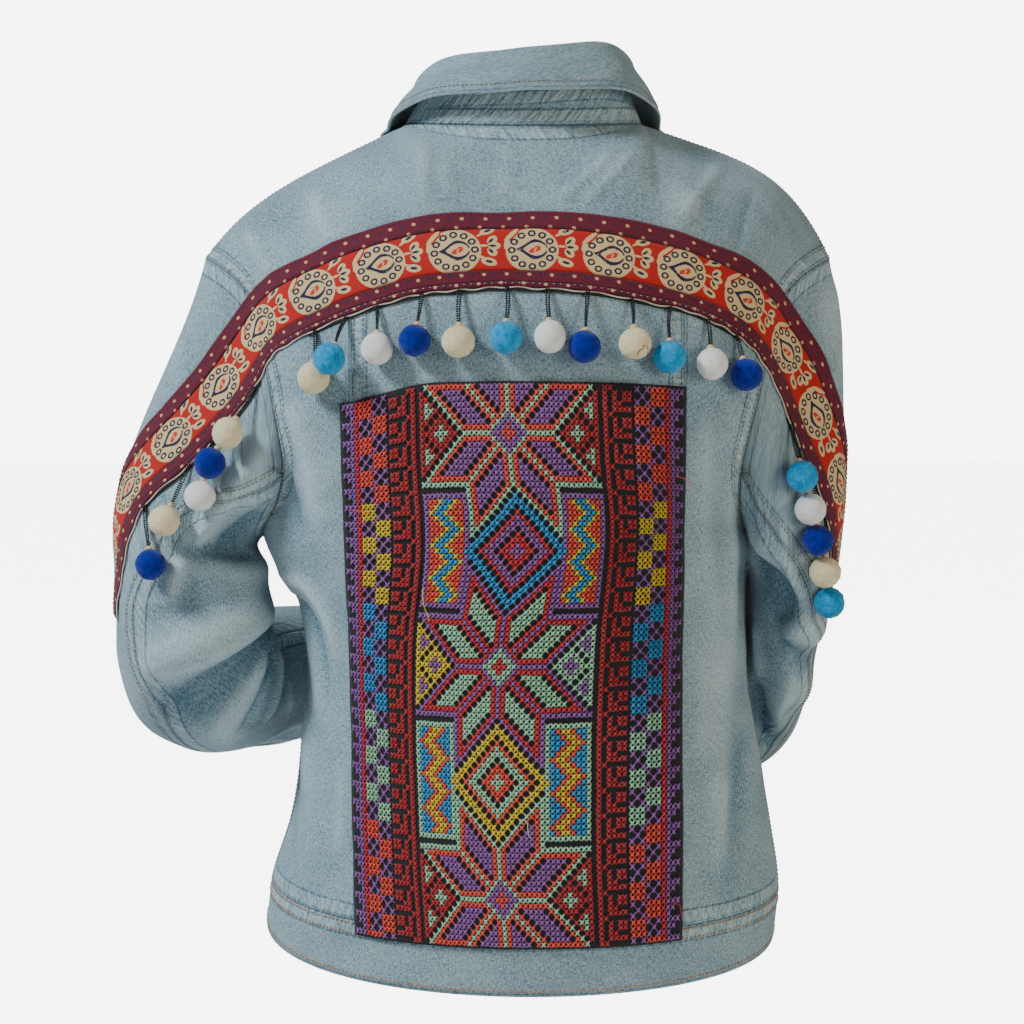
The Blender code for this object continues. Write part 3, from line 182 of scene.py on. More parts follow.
def table_of(kind, faces):
    """The rows for each face or side, with the named columns of their kind."""
    return {face: [kind(*row) for row in rows] for face, rows in faces.items()}


SIDE_EDGE = (
    Edge(0.00, 0.188, 0.184, -0.574, 0.000, 0.000),
    Edge(0.15, 0.191, 0.179, -0.541, 0.000, 0.000),
    Edge(0.32, 0.184, 0.165, -0.495, 0.000, 0.000),
    Edge(0.48, 0.175, 0.157, -0.442, 0.000, 0.000),
    Edge(0.64, 0.167, 0.152, -0.396, 0.000, 0.000),
    Edge(0.84, 0.165, 0.160, -0.330, 0.000, 0.000),
    Edge(1.00, 0.166, 0.183, -0.288, 0.000, 0.000),
    Edge(1.10, 0.161, 0.180, -0.278, 0.030, 0.030),
    Edge(1.24, 0.156, 0.170, -0.262, 0.053, 0.050),
    Edge(1.44, 0.155, 0.163, -0.235, 0.072, 0.066),
    Edge(1.72, 0.166, 0.170, -0.184, 0.077, 0.070),
    Edge(2.00, 0.182, 0.184, -0.126, 0.050, 0.048),
)
MIDDLE = table_of(Middle, {
    "back": (
        (0.00, 0.123, -0.595),
        (0.15, 0.124, -0.551),
        (0.32, 0.121, -0.503),
        (0.48, 0.116, -0.449),
        (0.64, 0.112, -0.402),
        (0.84, 0.116, -0.338),
        (1.00, 0.121, -0.288),
        (1.44, 0.126, -0.222),
        (1.72, 0.124, -0.172),
        (2.00, 0.112, -0.112),
    ),
    "front": (
        (0.00, 0.118, -0.583),
        (0.15, 0.117, -0.542),
        (0.32, 0.112, -0.494),
        (0.48, 0.108, -0.441),
        (0.64, 0.108, -0.396),
        (0.84, 0.116, -0.334),
        (1.00, 0.124, -0.290),
        (1.44, 0.127, -0.240),
        (1.72, 0.119, -0.200),
        (2.00, 0.107, -0.158),
    ),
})
# On the body a and b are x and z
BODY_FOLDS = table_of(Fold, {
    "back": (
        (-0.176, -0.290, -0.140, -0.420, 0.012, 0.0060),
        (-0.158, -0.320, -0.146, -0.440, 0.009, -0.0055),
        (0.142, -0.300, 0.136, -0.520, 0.014, 0.0030),
        (0.158, -0.360, 0.150, -0.540, 0.008, -0.0025),
        (0.120, -0.020, 0.108, -0.075, 0.010, 0.0020),
        (-0.150, -0.040, -0.125, -0.085, 0.010, 0.0018),
    ),
    "front": (
        (-0.150, -0.300, -0.110, -0.500, 0.013, 0.0040),
        (0.150, -0.300, 0.105, -0.480, 0.013, 0.0040),
        (0.075, -0.200, 0.070, -0.420, 0.014, 0.0025),
        (-0.070, -0.220, -0.078, -0.440, 0.014, -0.0022),
    ),
})
BODY_CREASES = table_of(Crease, {
    "back": (
        (-0.065, -0.006, -0.064, -0.030, -0.065, -0.058, 0.0050, 0.0016),
        (-0.046, -0.004, -0.048, -0.028, -0.047, -0.056, 0.0040, 0.0012),
        (-0.006, -0.008, -0.008, -0.030, -0.010, -0.058, 0.0060, 0.0015),
        (0.070, -0.014, 0.046, -0.036, 0.020, -0.056, 0.0045, 0.0020),
        (0.082, -0.016, 0.060, -0.038, 0.040, -0.058, 0.0040, 0.0018),
        (0.146, -0.020, 0.128, -0.042, 0.108, -0.068, 0.0055, 0.0023),
        (0.166, -0.040, 0.158, -0.062, 0.150, -0.090, 0.0045, -0.0016),
        (-0.140, -0.036, -0.135, -0.062, -0.120, -0.084, 0.0050, 0.0019),
        (-0.190, -0.060, -0.180, -0.088, -0.160, -0.104, 0.0045, 0.0020),
        (-0.164, -0.182, -0.145, -0.222, -0.133, -0.300, 0.0075, 0.0035),
        (-0.166, -0.205, -0.157, -0.245, -0.148, -0.288, 0.0060, -0.0032),
        (-0.176, -0.312, -0.140, -0.326, -0.124, -0.380, 0.0050, 0.0046),
        (-0.168, -0.330, -0.143, -0.350, -0.132, -0.420, 0.0045, -0.0046),
        (-0.150, -0.410, -0.152, -0.440, -0.146, -0.480, 0.0050, 0.0022),
        (-0.163, -0.450, -0.160, -0.480, -0.162, -0.520, 0.0045, -0.0019),
        (-0.126, -0.436, -0.122, -0.470, -0.128, -0.516, 0.0050, 0.0018),
        (0.126, -0.180, 0.128, -0.250, 0.133, -0.330, 0.0060, 0.0019),
        (0.146, -0.216, 0.151, -0.300, 0.150, -0.370, 0.0055, 0.0024),
        (0.158, -0.298, 0.161, -0.330, 0.160, -0.372, 0.0050, -0.0022),
        (0.138, -0.440, 0.142, -0.480, 0.137, -0.524, 0.0065, 0.0027),
        (0.122, -0.350, 0.127, -0.400, 0.124, -0.450, 0.0050, 0.0016),
        (0.166, -0.420, 0.158, -0.450, 0.156, -0.500, 0.0050, -0.0020),
    ),
    "front": (
        (-0.160, -0.300, -0.120, -0.330, -0.090, -0.400, 0.0065, 0.0035),
        (-0.150, -0.350, -0.130, -0.380, -0.118, -0.450, 0.0055, -0.0032),
        (0.155, -0.300, 0.120, -0.340, 0.096, -0.420, 0.0065, 0.0035),
        (0.150, -0.370, 0.128, -0.400, 0.120, -0.470, 0.0055, -0.0030),
        (0.060, -0.130, 0.075, -0.190, 0.070, -0.260, 0.0060, 0.0022),
        (-0.062, -0.140, -0.080, -0.200, -0.074, -0.280, 0.0060, 0.0022),
        (-0.110, -0.060, -0.120, -0.110, -0.140, -0.160, 0.0060, 0.0024),
        (0.110, -0.060, 0.122, -0.110, 0.140, -0.150, 0.0060, 0.0024),
        (0.050, -0.420, 0.056, -0.470, 0.052, -0.525, 0.0060, 0.0019),
        (-0.052, -0.430, -0.060, -0.480, -0.056, -0.530, 0.0060, 0.0019),
    ),
})


def smooth(keys, values, at):
    """A smooth curve through the rows of a table."""
    keys = np.asarray(keys, float)
    values = np.asarray(values, float)
    slopes = np.gradient(values, keys)
    at = np.clip(np.asarray(at, float), keys[0], keys[-1])
    i = np.clip(np.searchsorted(keys, at) - 1, 0, len(keys) - 2)
    step = keys[i + 1] - keys[i]
    u = (at - keys[i]) / step
    start = (2 * u**3 - 3 * u**2 + 1) * values[i] + (u**3 - 2 * u**2 + u) * step * slopes[i]
    end = (3 * u**2 - 2 * u**3) * values[i + 1] + (u**3 - u**2) * step * slopes[i + 1]
    return start + end


def from_table(table, value, at):
    return smooth([row[0] for row in table], [getattr(row, value) for row in table], at)


def ease(value):
    value = np.clip(value, 0.0, 1.0)
    return value * value * (3.0 - 2.0 * value)


def unit(vectors):
    length = np.linalg.norm(vectors, axis=-1, keepdims=True)
    return vectors / np.maximum(length, 1e-12)


def between(start, start_pull, end, end_pull, share):
    """A Bezier curve from start to end, for arrays of points."""
    w = np.asarray(share)[..., None]
    return ((1 - w)**3 * start + 3 * (1 - w)**2 * w * (start + start_pull)
            + 3 * (1 - w) * w**2 * (end - end_pull) + w**3 * end)


def neck_ring(turn):
    """turn runs from 0 at the middle of the back to 1 or -1 at the middle of the front."""
    angle = np.asarray(turn, float) * math.pi
    ahead = np.maximum(-np.cos(angle), 0.0)
    behind = np.maximum(np.cos(angle), 0.0)
    x = NECK_SHIFT + NECK_HALF * np.sin(angle)
    y = NECK_FRONT * ahead - NECK_BACK * behind
    z = NECK_SIDE_RISE * (1 - behind**2) - NECK_FRONT_DROP * ahead**NECK_FRONT_CURVE
    return np.stack([x, y, z], axis=-1)


def shoulder_line(face, across):
    side = np.where(across < 0, -1.0, 1.0)
    share = np.abs(across)
    turn = 0.5 * np.clip(share / NECK_SHARE, 0, 1)
    neck = neck_ring(side * (turn if face == "back" else 1.0 - turn))
    out = np.clip((share - NECK_SHARE) / (1 - NECK_SHARE), 0, 1)
    slope = np.where(side > 0, SHOULDER_SLOPE["right"], SHOULDER_SLOPE["left"])
    drop = SHOULDER_DROP * (slope * out + (1 - slope) * out**5)
    reach = (side * SHOULDER_HALF - neck[..., 0]) * out
    return neck + np.stack([reach, 0.008 * np.sin(math.pi * out), -drop], axis=-1)


def body_row(face, across, up):
    facing = -1.0 if face == "back" else 1.0
    edge_x = np.where(across >= 0, from_table(SIDE_EDGE, "right", up), from_table(SIDE_EDGE, "left", up))
    edge_y = np.maximum(from_table(SIDE_EDGE, face, up), 0.0)
    edge_z = from_table(SIDE_EDGE, "z", up)
    middle_y = from_table(MIDDLE[face], "y", up)
    middle_z = from_table(MIDDLE[face], "z", up)
    sweep = np.arccos(np.clip(edge_y / middle_y, 0, 0.98)**(1 / FLATNESS))
    turn = across * sweep
    x = edge_x * np.sin(turn) / np.sin(sweep)
    y = facing * middle_y * np.maximum(np.cos(turn), 0)**FLATNESS
    tilt = HEM_TILT * across * ease((0.6 - up) / 0.6)
    z = middle_z + (edge_z - middle_z) * across**2 + tilt
    return np.stack([x, y, z], axis=-1)


def body_plain(face, across, up):
    across, up = np.broadcast_arrays(np.asarray(across, float), np.asarray(up, float))
    lower = body_row(face, across, np.minimum(up, YOKE_UP))
    facing = -1.0 if face == "back" else 1.0
    base = body_row(face, across, np.full(across.shape, YOKE_UP))
    below = body_row(face, across, np.full(across.shape, YOKE_UP - 0.04))
    top = shoulder_line(face, across)
    span = np.linalg.norm(top - base, axis=-1, keepdims=True)
    flat = ease(np.abs(across) / NECK_SHARE)
    lead = np.stack([0 * flat, -facing * (0.45 + 0.55 * flat), 0.9 * (1 - flat)], axis=-1)
    share = np.clip(up - YOKE_UP, 0, 1)
    upper = between(base, unit(base - below) * span * 0.38, top, unit(lead) * span * 0.38, share)
    return np.where((up > YOKE_UP)[..., None], upper, lower)


def across_at(face, x, up):
    """The share across a row of the body where it reaches the distance x from the middle."""
    side = np.where(np.asarray(x) < 0, -1.0, 1.0)
    level = np.minimum(up, YOKE_UP)
    edge_x = np.where(side > 0, from_table(SIDE_EDGE, "right", level), from_table(SIDE_EDGE, "left", level))
    edge_y = np.maximum(from_table(SIDE_EDGE, face, level), 0.0)
    sweep = np.arccos(np.clip(edge_y / from_table(MIDDLE[face], "y", level), 0, 0.98)**(1 / FLATNESS))
    low = np.arcsin(np.clip(np.abs(x) * np.sin(sweep) / edge_x, 0, 1)) / sweep
    high = NECK_SHARE * np.arcsin(np.clip(np.abs(x - NECK_SHIFT) / NECK_HALF, 0, 1)) / (math.pi / 2)
    lift = np.clip(np.asarray(up) - YOKE_UP, 0, 1)
    return side * (low + (high - low) * lift)


def fold_height(folds, a, b, stretch=1.0):
    """Height of the largest folds at (a, b); b is stretched to the same unit as a."""
    total = np.zeros(np.shape(a))
    for fold in folds:
        run_a = fold.to_a - fold.a
        run_b = (fold.to_b - fold.b) * stretch
        length = math.hypot(run_a, run_b)
        off_a = a - fold.a
        off_b = (b - fold.b) * stretch
        along = np.clip((off_a * run_a + off_b * run_b) / length**2, 0, 1)
        aside = (off_a * run_b - off_b * run_a) / length
        reach = 1 - (2 * along - 1)**2
        total = total + fold.height * reach * np.exp(-(aside / fold.width)**2)
    return total


def bent(start, middle, end, share):
    """A curve from start to end that passes the middle halfway."""
    pull = 2 * middle - (start + end) / 2
    return (1 - share)**2 * start + 2 * share * (1 - share) * pull + share**2 * end


def crease_height(creases, a, b, stretch=1.0):
    """Round ridges and sharp hollows, steeper on one side, along curves bent through their middle."""
    total = np.zeros(np.shape(a))
    share = np.linspace(0, 1, 19)
    for crease in creases:
        line_a = bent(crease.a, crease.mid_a, crease.to_a, share)
        line_b = bent(crease.b, crease.mid_b, crease.to_b, share) * stretch
        nearest = np.full(np.shape(a), 9.0)
        aside = np.zeros(np.shape(a))
        passed = np.zeros(np.shape(a))
        for k in range(len(share) - 1):
            run_a, run_b = line_a[k + 1] - line_a[k], line_b[k + 1] - line_b[k]
            length = math.hypot(run_a, run_b)
            off_a, off_b = a - line_a[k], b * stretch - line_b[k]
            along = np.clip((off_a * run_a + off_b * run_b) / length**2, 0, 1)
            distance = np.hypot(off_a - along * run_a, off_b - along * run_b)
            closer = distance < nearest
            nearest = np.where(closer, distance, nearest)
            side = np.sign(off_a * run_b - off_b * run_a)
            aside = np.where(closer, distance * side, aside)
            passed = np.where(closer, (k + along) / (len(share) - 1), passed)
        taper = ease(passed / CREASE_TAPER) * ease((1 - passed) / CREASE_TAPER)
        reach = np.abs(aside) / crease.width
        ridge = np.exp(-reach**2)
        valley = np.exp(-reach * np.where(aside < 0, VALLEY_STEEP, VALLEY_SOFT))
        total = total + crease.height * taper * (ridge if crease.height > 0 else valley)
    return total


def slopes_of(surface, a, b, low, high, step=0.004):
    """Directions along a and along b, from nearby points kept inside low and high."""
    a_less, a_more = np.maximum(a - step, low), np.minimum(a + step, high)
    along_a = (surface(a_more, b) - surface(a_less, b)) / (a_more - a_less)[..., None]
    along_b = (surface(a, b + step) - surface(a, b - step)) / (2 * step)
    return along_a, along_b


def body_normal(face, across, up):
    up = np.clip(up, 0.004, SHOULDER_UP - 0.005)
    along_a, along_b = slopes_of(lambda a, b: body_plain(face, a, b), across, up, -1.0, 1.0)
    facing = 1.0 if face == "back" else -1.0
    return unit(facing * np.cross(along_a, along_b))


def unevenness(a, b):
    """Cloth that has been used and washed never lies quite flat."""
    waves = (np.sin(83 * a + 31 * b + 1.3) + 0.8 * np.sin(-51 * a + 77 * b + 0.4)
             + 0.5 * np.sin(143 * a + 17 * b) + 0.5 * np.sin(37 * a - 151 * b + 2.0))
    return 0.00035 * waves


def body(face, across, up):
    """Outer points of the body's cloth, their outward directions and the height of the folds there."""
    across, up = np.broadcast_arrays(np.asarray(across, float), np.asarray(up, float))
    points = body_plain(face, across, up)
    normals = body_normal(face, across, up)
    inside = ease((1 - np.abs(across)) / 0.08) * ease(up / 0.3)
    x, z = points[..., 0], points[..., 2]
    fine = crease_height(BODY_CREASES[face], x, z) + unevenness(x, z)
    edge = ease((1 - np.abs(across)) / 0.05) * ease(up / 0.3) * ease((SHOULDER_UP - up) / 0.15)
    height = fold_height(BODY_FOLDS[face], x, z) * inside + fine * edge
    return points + normals * height[..., None], normals, height


CLOTHS = {}


def pull_in(points, sides, gap=SEAM_GAP / 8):
    """Pull the named edges of a grid of points back by half a seam's gap, square to the seam."""
    points = points.copy()
    for side, edge, inner in (("start", np.s_[:, 0], np.s_[:, 1]), ("end", np.s_[:, -1], np.s_[:, -2]),
                              ("low", np.s_[0], np.s_[1]), ("high", np.s_[-1], np.s_[-2])):
        if side in sides:
            seam = unit(np.gradient(points[edge], axis=0))
            inward = points[inner] - points[edge]
            inward = inward - seam * np.sum(inward * seam, axis=-1, keepdims=True)
            points[edge] += unit(inward) * gap
    return points


def grid_normals(points, like):
    normals = unit(np.cross(np.gradient(points, axis=1), np.gradient(points, axis=0)))
    facing = np.sign(np.sum(normals * like, axis=-1, keepdims=True))
    return normals * np.where(facing == 0, 1.0, facing)


def travelled_along(points):
    """Distance travelled along a line of points, from its first one."""
    return np.concatenate([[0], np.cumsum(np.linalg.norm(np.diff(points, axis=0), axis=1))])


def read_off(at, keys, points):
    """Points or directions at places along a line whose own places are keys."""
    return np.stack([np.interp(at, keys, points[:, axis]) for axis in range(3)], axis=-1)


def lengths(points, axis):
    """Distance travelled along a grid, from its first row or column."""
    steps = np.linalg.norm(np.diff(points, axis=axis), axis=-1)
    start = np.zeros_like(np.take(steps, [0], axis=axis))
    return np.concatenate([start, np.cumsum(steps, axis=axis)], axis=axis)


def grid_faces(index):
    """The four corners of each square of a grid of numbered points."""
    return np.stack([index[:-1, :-1], index[:-1, 1:], index[1:, 1:], index[1:, :-1]], axis=-1).reshape(-1, 4)


def cloth_shell(name, outer, like, thick, sewn=(), height=None, finish=None, pattern=None):
    """A closed wall of cloth on a grid of outer points, with its pattern, its seams, the edges where it fades
    and the height of its folds, which sets the painted shade in their hollows.
    """
    rows, columns = outer.shape[:2]
    count = rows * columns
    normals = grid_normals(outer, like)
    inner = outer - normals * thick
    index = np.arange(count).reshape(rows, columns)
    skin = grid_faces(index)
    corner = outer.reshape(-1, 3)[skin[len(skin) // 2]]
    outward = np.dot(np.cross(corner[1] - corner[0], corner[3] - corner[0]),
                     normals.reshape(-1, 3)[skin[len(skin) // 2][0]]) > 0
    loop = np.concatenate([index[0, :-1], index[:-1, -1], index[-1, :0:-1], index[:0:-1, 0]])
    after = np.roll(loop, -1)
    rim = np.stack([after, loop, loop + count, after + count], axis=-1)
    faces = np.concatenate([skin, skin[:, ::-1] + count, rim])
    if not outward:
        faces = faces[:, ::-1]
    mesh = bpy.data.meshes.new(name)
    mesh.from_pydata(np.concatenate([outer.reshape(-1, 3), inner.reshape(-1, 3)]), [], faces)
    mesh.shade_smooth()
    across = lengths(outer, 1)
    down = lengths(outer, 0)
    gaps = {"start": across, "end": across[:, -1:] - across, "low": down, "high": down[-1:] - down}
    seam = np.full((rows, columns), 0.5)
    beside = np.zeros((rows, columns))
    for side in sewn:
        nearer = gaps[side] < seam
        seam = np.where(nearer, gaps[side], seam)
        beside = np.where(nearer, down if side in ("start", "end") else across, beside)
    edge = np.minimum.reduce(list(gaps.values()))
    relief = np.zeros((rows, columns)) if height is None else np.clip(height / 0.004, -1, 1)
    for label, values in (("seam", seam), ("beside", beside), ("edge", edge), ("relief", relief)):
        spread = np.concatenate([values.ravel(), values.ravel()])
        mesh.attributes.new(label, "FLOAT", "POINT").data.foreach_set("value", spread)
    inside = np.concatenate([np.zeros(count), np.ones(count)])
    mesh.attributes.new("inside", "FLOAT", "POINT").data.foreach_set("value", inside)
    if pattern is None:
        plain = outer if height is None else outer - like * height[..., None]
        run = lengths(plain, 1)
        pattern = np.stack([run - np.median(run, axis=0)[columns // 2], lengths(plain, 0)], axis=-1)
    flat = pattern.reshape(-1, 2)
    flat = np.concatenate([flat, flat])
    corners = np.zeros(len(mesh.loops), dtype=np.int32)
    mesh.loops.foreach_get("vertex_index", corners)
    mesh.uv_layers.new(name="pattern").data.foreach_set("uv", flat[corners].ravel())
    mesh.materials.append(finish)
    CLOTHS[name] = (outer, normals, across, down)
    return add_object(name, mesh)


def belongs(made, slot, node=None):
    """Every piece rides on the jacket's one body; most take the place of a plain node."""
    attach(made, "root")
    if node:
        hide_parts(node)
    return made


def noise(tree, vector, scale, detail=2.0, rough=0.5):
    inputs = {"Vector": vector, "Scale": scale, "Detail": detail, "Roughness": rough}
    return place_node(tree, "ShaderNodeTexNoise", inputs).outputs["Fac"]


def stretched(tree, vector, x, y, z=1.0):
    return place_node(tree, "ShaderNodeMapping", {"Vector": vector, "Scale": (x, y, z)}).outputs["Vector"]


def ramp(tree, value, start, end):
    """0 before start, 1 past end, smooth between; it runs down the scale where start is the larger."""
    inputs = {"Value": value, "From Min": start, "From Max": end}
    return place_node(tree, "ShaderNodeMapRange", inputs, interpolation_type="SMOOTHSTEP").outputs["Result"]


def blend_colours(tree, share, first, second, kind="MIX"):
    inputs = {"Factor": share, "A": first, "B": second}
    return place_node(tree, "ShaderNodeMix", inputs, data_type="RGBA", blend_type=kind).outputs["Result"]


def attribute(tree, name, output="Fac"):
    return place_node(tree, "ShaderNodeAttribute", attribute_name=name).outputs[output]


def tint(red, green, blue):
    """A colour given from 0 to 255 as it looks, turned into light."""
    looks = (red / 255, green / 255, blue / 255)
    return tuple(c / 12.92 if c < 0.0405 else ((c + 0.055) / 1.055)**2.4 for c in looks) + (1.0,)


def new_group(name, vectors, values, outputs):
    """A shader group with its named vector inputs, its number inputs and its number outputs."""
    group = bpy.data.node_groups.new(name, "ShaderNodeTree")
    for label in vectors:
        group.interface.new_socket(label, in_out="INPUT", socket_type="NodeSocketVector")
    for label, value in values.items():
        socket = group.interface.new_socket(label, in_out="INPUT", socket_type="NodeSocketFloat")
        socket.default_value = value
    for label in outputs:
        group.interface.new_socket(label, in_out="OUTPUT", socket_type="NodeSocketFloat")
    return group, group.nodes.new("NodeGroupInput").outputs, group.nodes.new("NodeGroupOutput").inputs


def use_group(tree, group, **values):
    made = place_node(tree, "ShaderNodeGroup", node_tree=group)
    for label, value in values.items():
        feed(tree, made.inputs[label], value)
    return made.outputs


def flat_spot(tree, x, y):
    return place_node(tree, "ShaderNodeCombineXYZ", {"X": x, "Y": y}).outputs["Vector"]


def weave_group():
    """Diagonal ribs of twill, uneven threads and fine grain, as a shade and a height."""
    group, given, out = new_group("weave", ["Pattern"], {"Rib": 0.0008, "Lean": 0.8}, ["Shade", "Height"])
    axes = place_node(group, "ShaderNodeSeparateXYZ", {"Vector": given["Pattern"]}).outputs
    diagonal = times_plus(group, axes["Y"], given["Lean"], axes["X"])
    rib = maths("PINGPONG", group, maths("DIVIDE", group, diagonal, given["Rib"]), 0.5)
    slub = noise(group, stretched(group, given["Pattern"], 1100, 320), 1.0, 2.0)
    cross = noise(group, stretched(group, given["Pattern"], 330, 1400), 1.0, 1.0)
    grain = noise(group, given["Pattern"], 950, 2.0)
    shade = times_plus(group, rib, 0.18, times(group, slub, 0.44))
    shade = times_plus(group, cross, 0.28, shade)
    feed(group, out["Shade"], times_plus(group, grain, 0.52, shade))
    feed(group, out["Height"], plus(group, rib, slub))
    return group


def wear_and_shade_group():
    """Fading along sewn seams with puckers square to the seam, and a painted shadow along the felled edge; on
    folds, light ridges from washing and painted shade in the darker hollows.
    """
    group, given, out = new_group(
        "seam_fading_and_shade", [], {"Seam": 0.5, "Beside": 0.0, "Relief": 0.0}, ["Fade", "Step", "Pucker"])
    near = ramp(group, given["Seam"], 0.0125, 0.0095)
    # A darker band about 11 mm from the seam, beside the felled edge: painted shadow of that edge.
    line = ramp(group, maths("ABSOLUTE", group, minus(group, given["Seam"], 0.0108)), 0.0014, 0.0002)
    root = ramp(group, given["Seam"], 0.0013, 0.0002)
    spot = flat_spot(group, given["Beside"], times(group, given["Seam"], 0.25))
    ripple = noise(group, spot, 290, 1.5)
    strip = ramp(group, given["Seam"], 0.0155, 0.0085)
    pucker = times(group, minus(group, ripple, 0.5), strip)
    fade_and_shade = times_plus(group, near, 0.14, times(group, pucker, 1.1))
    fade_and_shade = times_plus(group, line, -0.36, fade_and_shade)
    fade_and_shade = times_plus(group, root, -0.60, fade_and_shade)
    # Relief lightens the ridges of folds, as washing does, and darkens their hollows: painted shade.
    feed(group, out["Fade"], times_plus(group, given["Relief"], 0.30, fade_and_shade))
    feed(group, out["Step"], near)
    feed(group, out["Pucker"], pucker)
    return group


WEAVE = weave_group()
WEAR_AND_SHADE = wear_and_shade_group()


def pattern_of(tree, layer="pattern"):
    return place_node(tree, "ShaderNodeUVMap", uv_map=layer).outputs["UV"]


def object_spots(tree):
    return place_node(tree, "ShaderNodeTexCoord").outputs["Object"]


def bump(tree, sockets, height, distance=1.0):
    made = place_node(tree, "ShaderNodeBump", {"Height": height, "Distance": distance, "Strength": 1.0})
    feed(tree, sockets["Normal"], made.outputs["Normal"])


def washed_denim():
    made, tree, sockets = new_material(
        "washed_denim", Roughness=0.88, Sheen_Weight=0.12, Specular_IOR_Level=0.25)
    pattern = pattern_of(tree)
    weave = use_group(tree, WEAVE, Pattern=pattern)
    fading_and_shade = use_group(tree, WEAR_AND_SHADE, Seam=attribute(tree, "seam"), Beside=attribute(tree, "beside"),
                     Relief=attribute(tree, "relief"))
    cloudy = noise(tree, pattern, 21, 3.0, 0.6)
    mottled = noise(tree, pattern, 130, 3.0, 0.6)
    share = times_plus(tree, minus(tree, weave["Shade"], WEAVE_MIDDLE), WEAVE_CONTRAST, 0.47)
    share = times_plus(tree, minus(tree, cloudy, 0.5), 0.50, share)
    share = times_plus(tree, minus(tree, mottled, 0.5), 0.14, share)
    edge = attribute(tree, "edge")
    rim = ramp(tree, edge, 0.0012, 0.0)
    share = times_plus(tree, rim, 0.16, share)
    groove = ramp(tree, maths("ABSOLUTE", tree, minus(tree, edge, 0.0019)), 0.0008, 0.0001)
    share = times_plus(tree, groove, -0.30, share)
    # The seams add their fading here, and with it painted shade: a line at each felled edge and the darker
    # hollows of the folds.
    share = plus(tree, share, fading_and_shade["Fade"], clamp=True)
    washed_blue_and_shade = blend_colours(tree, share, tint(60, 100, 122), tint(188, 208, 214))
    pale = blend_colours(tree, weave["Shade"], tint(168, 186, 194), tint(214, 222, 224))
    inside = ramp(tree, attribute(tree, "inside"), 0.4, 0.6)
    feed(tree, sockets["Base Color"], blend_colours(tree, inside, washed_blue_and_shade, pale))
    height = times(tree, weave["Height"], 0.00012)
    height = times_plus(tree, fading_and_shade["Step"], 0.0007, height)
    height = times_plus(tree, fading_and_shade["Pucker"], 0.0030, height)
    height = times_plus(tree, noise(tree, pattern, 75, 2.0), 0.0006, height)
    bump(tree, sockets, height)
    return made


DENIM = washed_denim()
NECK_STEPS = np.linspace(0, NECK_SHARE, 33)
SHOULDER_STEPS = np.linspace(NECK_SHARE, 1, 56)[1:]
HALF_STEPS = np.concatenate([NECK_STEPS, SHOULDER_STEPS])
FULL_STEPS = np.concatenate([-HALF_STEPS[:0:-1], HALF_STEPS])
YOKE_ROWS = np.linspace(YOKE_UP, SHOULDER_UP, 62)


def denim_piece(node, points, like, height, sewn, flat, thick=CLOTH, felled=None):
    """One cut piece of the jacket: its wall and what it stands for; flat, the size of its cloth, is not used.

    sewn names the edges that are pulled in at a seam, felled those that show a seam's fading and its painted
    edge shadow."""
    made = cloth_shell(node + "_cloth", pull_in(points, sewn), like, thick, felled or sewn, height, DENIM)
    belongs(made, "denim", node)
    return made


BODY_CLOTHS = []
ALL_ROUND = ("start", "end", "low", "high")
across, up = np.meshgrid(FULL_STEPS, YOKE_ROWS)
points, like, height = body("back", across, up)
BODY_CLOTHS.append(denim_piece("back_yoke", points, like, height, ALL_ROUND, (0.50, 0.17)))

# Back: a middle piece and two side pieces
# Three denim pieces below the yoke, joined by felled seams down the back and gathered a little
# where they meet the waistband. The wearer's left side hangs over in one large fold.
PRINCESS_X = 0.1125
BACK_ROWS = np.linspace(WAISTBAND_UP, YOKE_UP, 156)


def back_middle(share, up):
    left = across_at("back", -PRINCESS_X, up)
    return left + (across_at("back", PRINCESS_X, up) - left) * share


share, up = np.meshgrid(np.linspace(0, 1, 91), BACK_ROWS)
points, like, height = body("back", back_middle(share, up), up)
BODY_CLOTHS.append(denim_piece("back_center", points, like, height, ALL_ROUND, (0.25, 0.46),
                               felled=("start", "end", "low")))
for side, sign in SIDES.items():
    share, up = np.meshgrid(np.linspace(0, 1, 45), BACK_ROWS)
    seam = across_at("back", sign * PRINCESS_X, up)
    points, like, height = body("back", seam + (sign - seam) * share, up)
    BODY_CLOTHS.append(denim_piece("back_side_" + side, points, like, height, ALL_ROUND, (0.15, 0.46),
                                   felled=("end", "low")))

# Fronts
# One denim piece each from the shoulder to the waistband. The wearer's right front rises
# a little to meet the button band that lies on top.
BAND_HALF = 0.019
TOP_BAND_LIFT = CLOTH + LAY_GAP
FRONT_ROWS = np.linspace(WAISTBAND_UP, SHOULDER_UP, 142)
FRONT_CUT = 0.14


def rise_to_band(points):
    return TOP_BAND_LIFT * ease((0.050 - points[..., 0]) / 0.028)


for side, sign in SIDES.items():
    rest = np.linspace(FRONT_CUT, NECK_SHARE, 19)
    shares = np.concatenate([np.linspace(0, FRONT_CUT, 8)[:-1], rest[:-1], np.linspace(NECK_SHARE, 1, 34)])
    across, up = np.meshgrid(shares, FRONT_ROWS)
    seam = across_at("front", sign * BAND_HALF, up)
    near = seam + (sign * FRONT_CUT - seam) * (across / FRONT_CUT)
    across = np.where(across < FRONT_CUT, near, sign * across)
    points, like, height = body("front", across, up)
    if side == "right":
        points = points + like * rise_to_band(points)[..., None]
    BODY_CLOTHS.append(denim_piece("front_" + side, points, like, height, ALL_ROUND, (0.26, 0.62)))

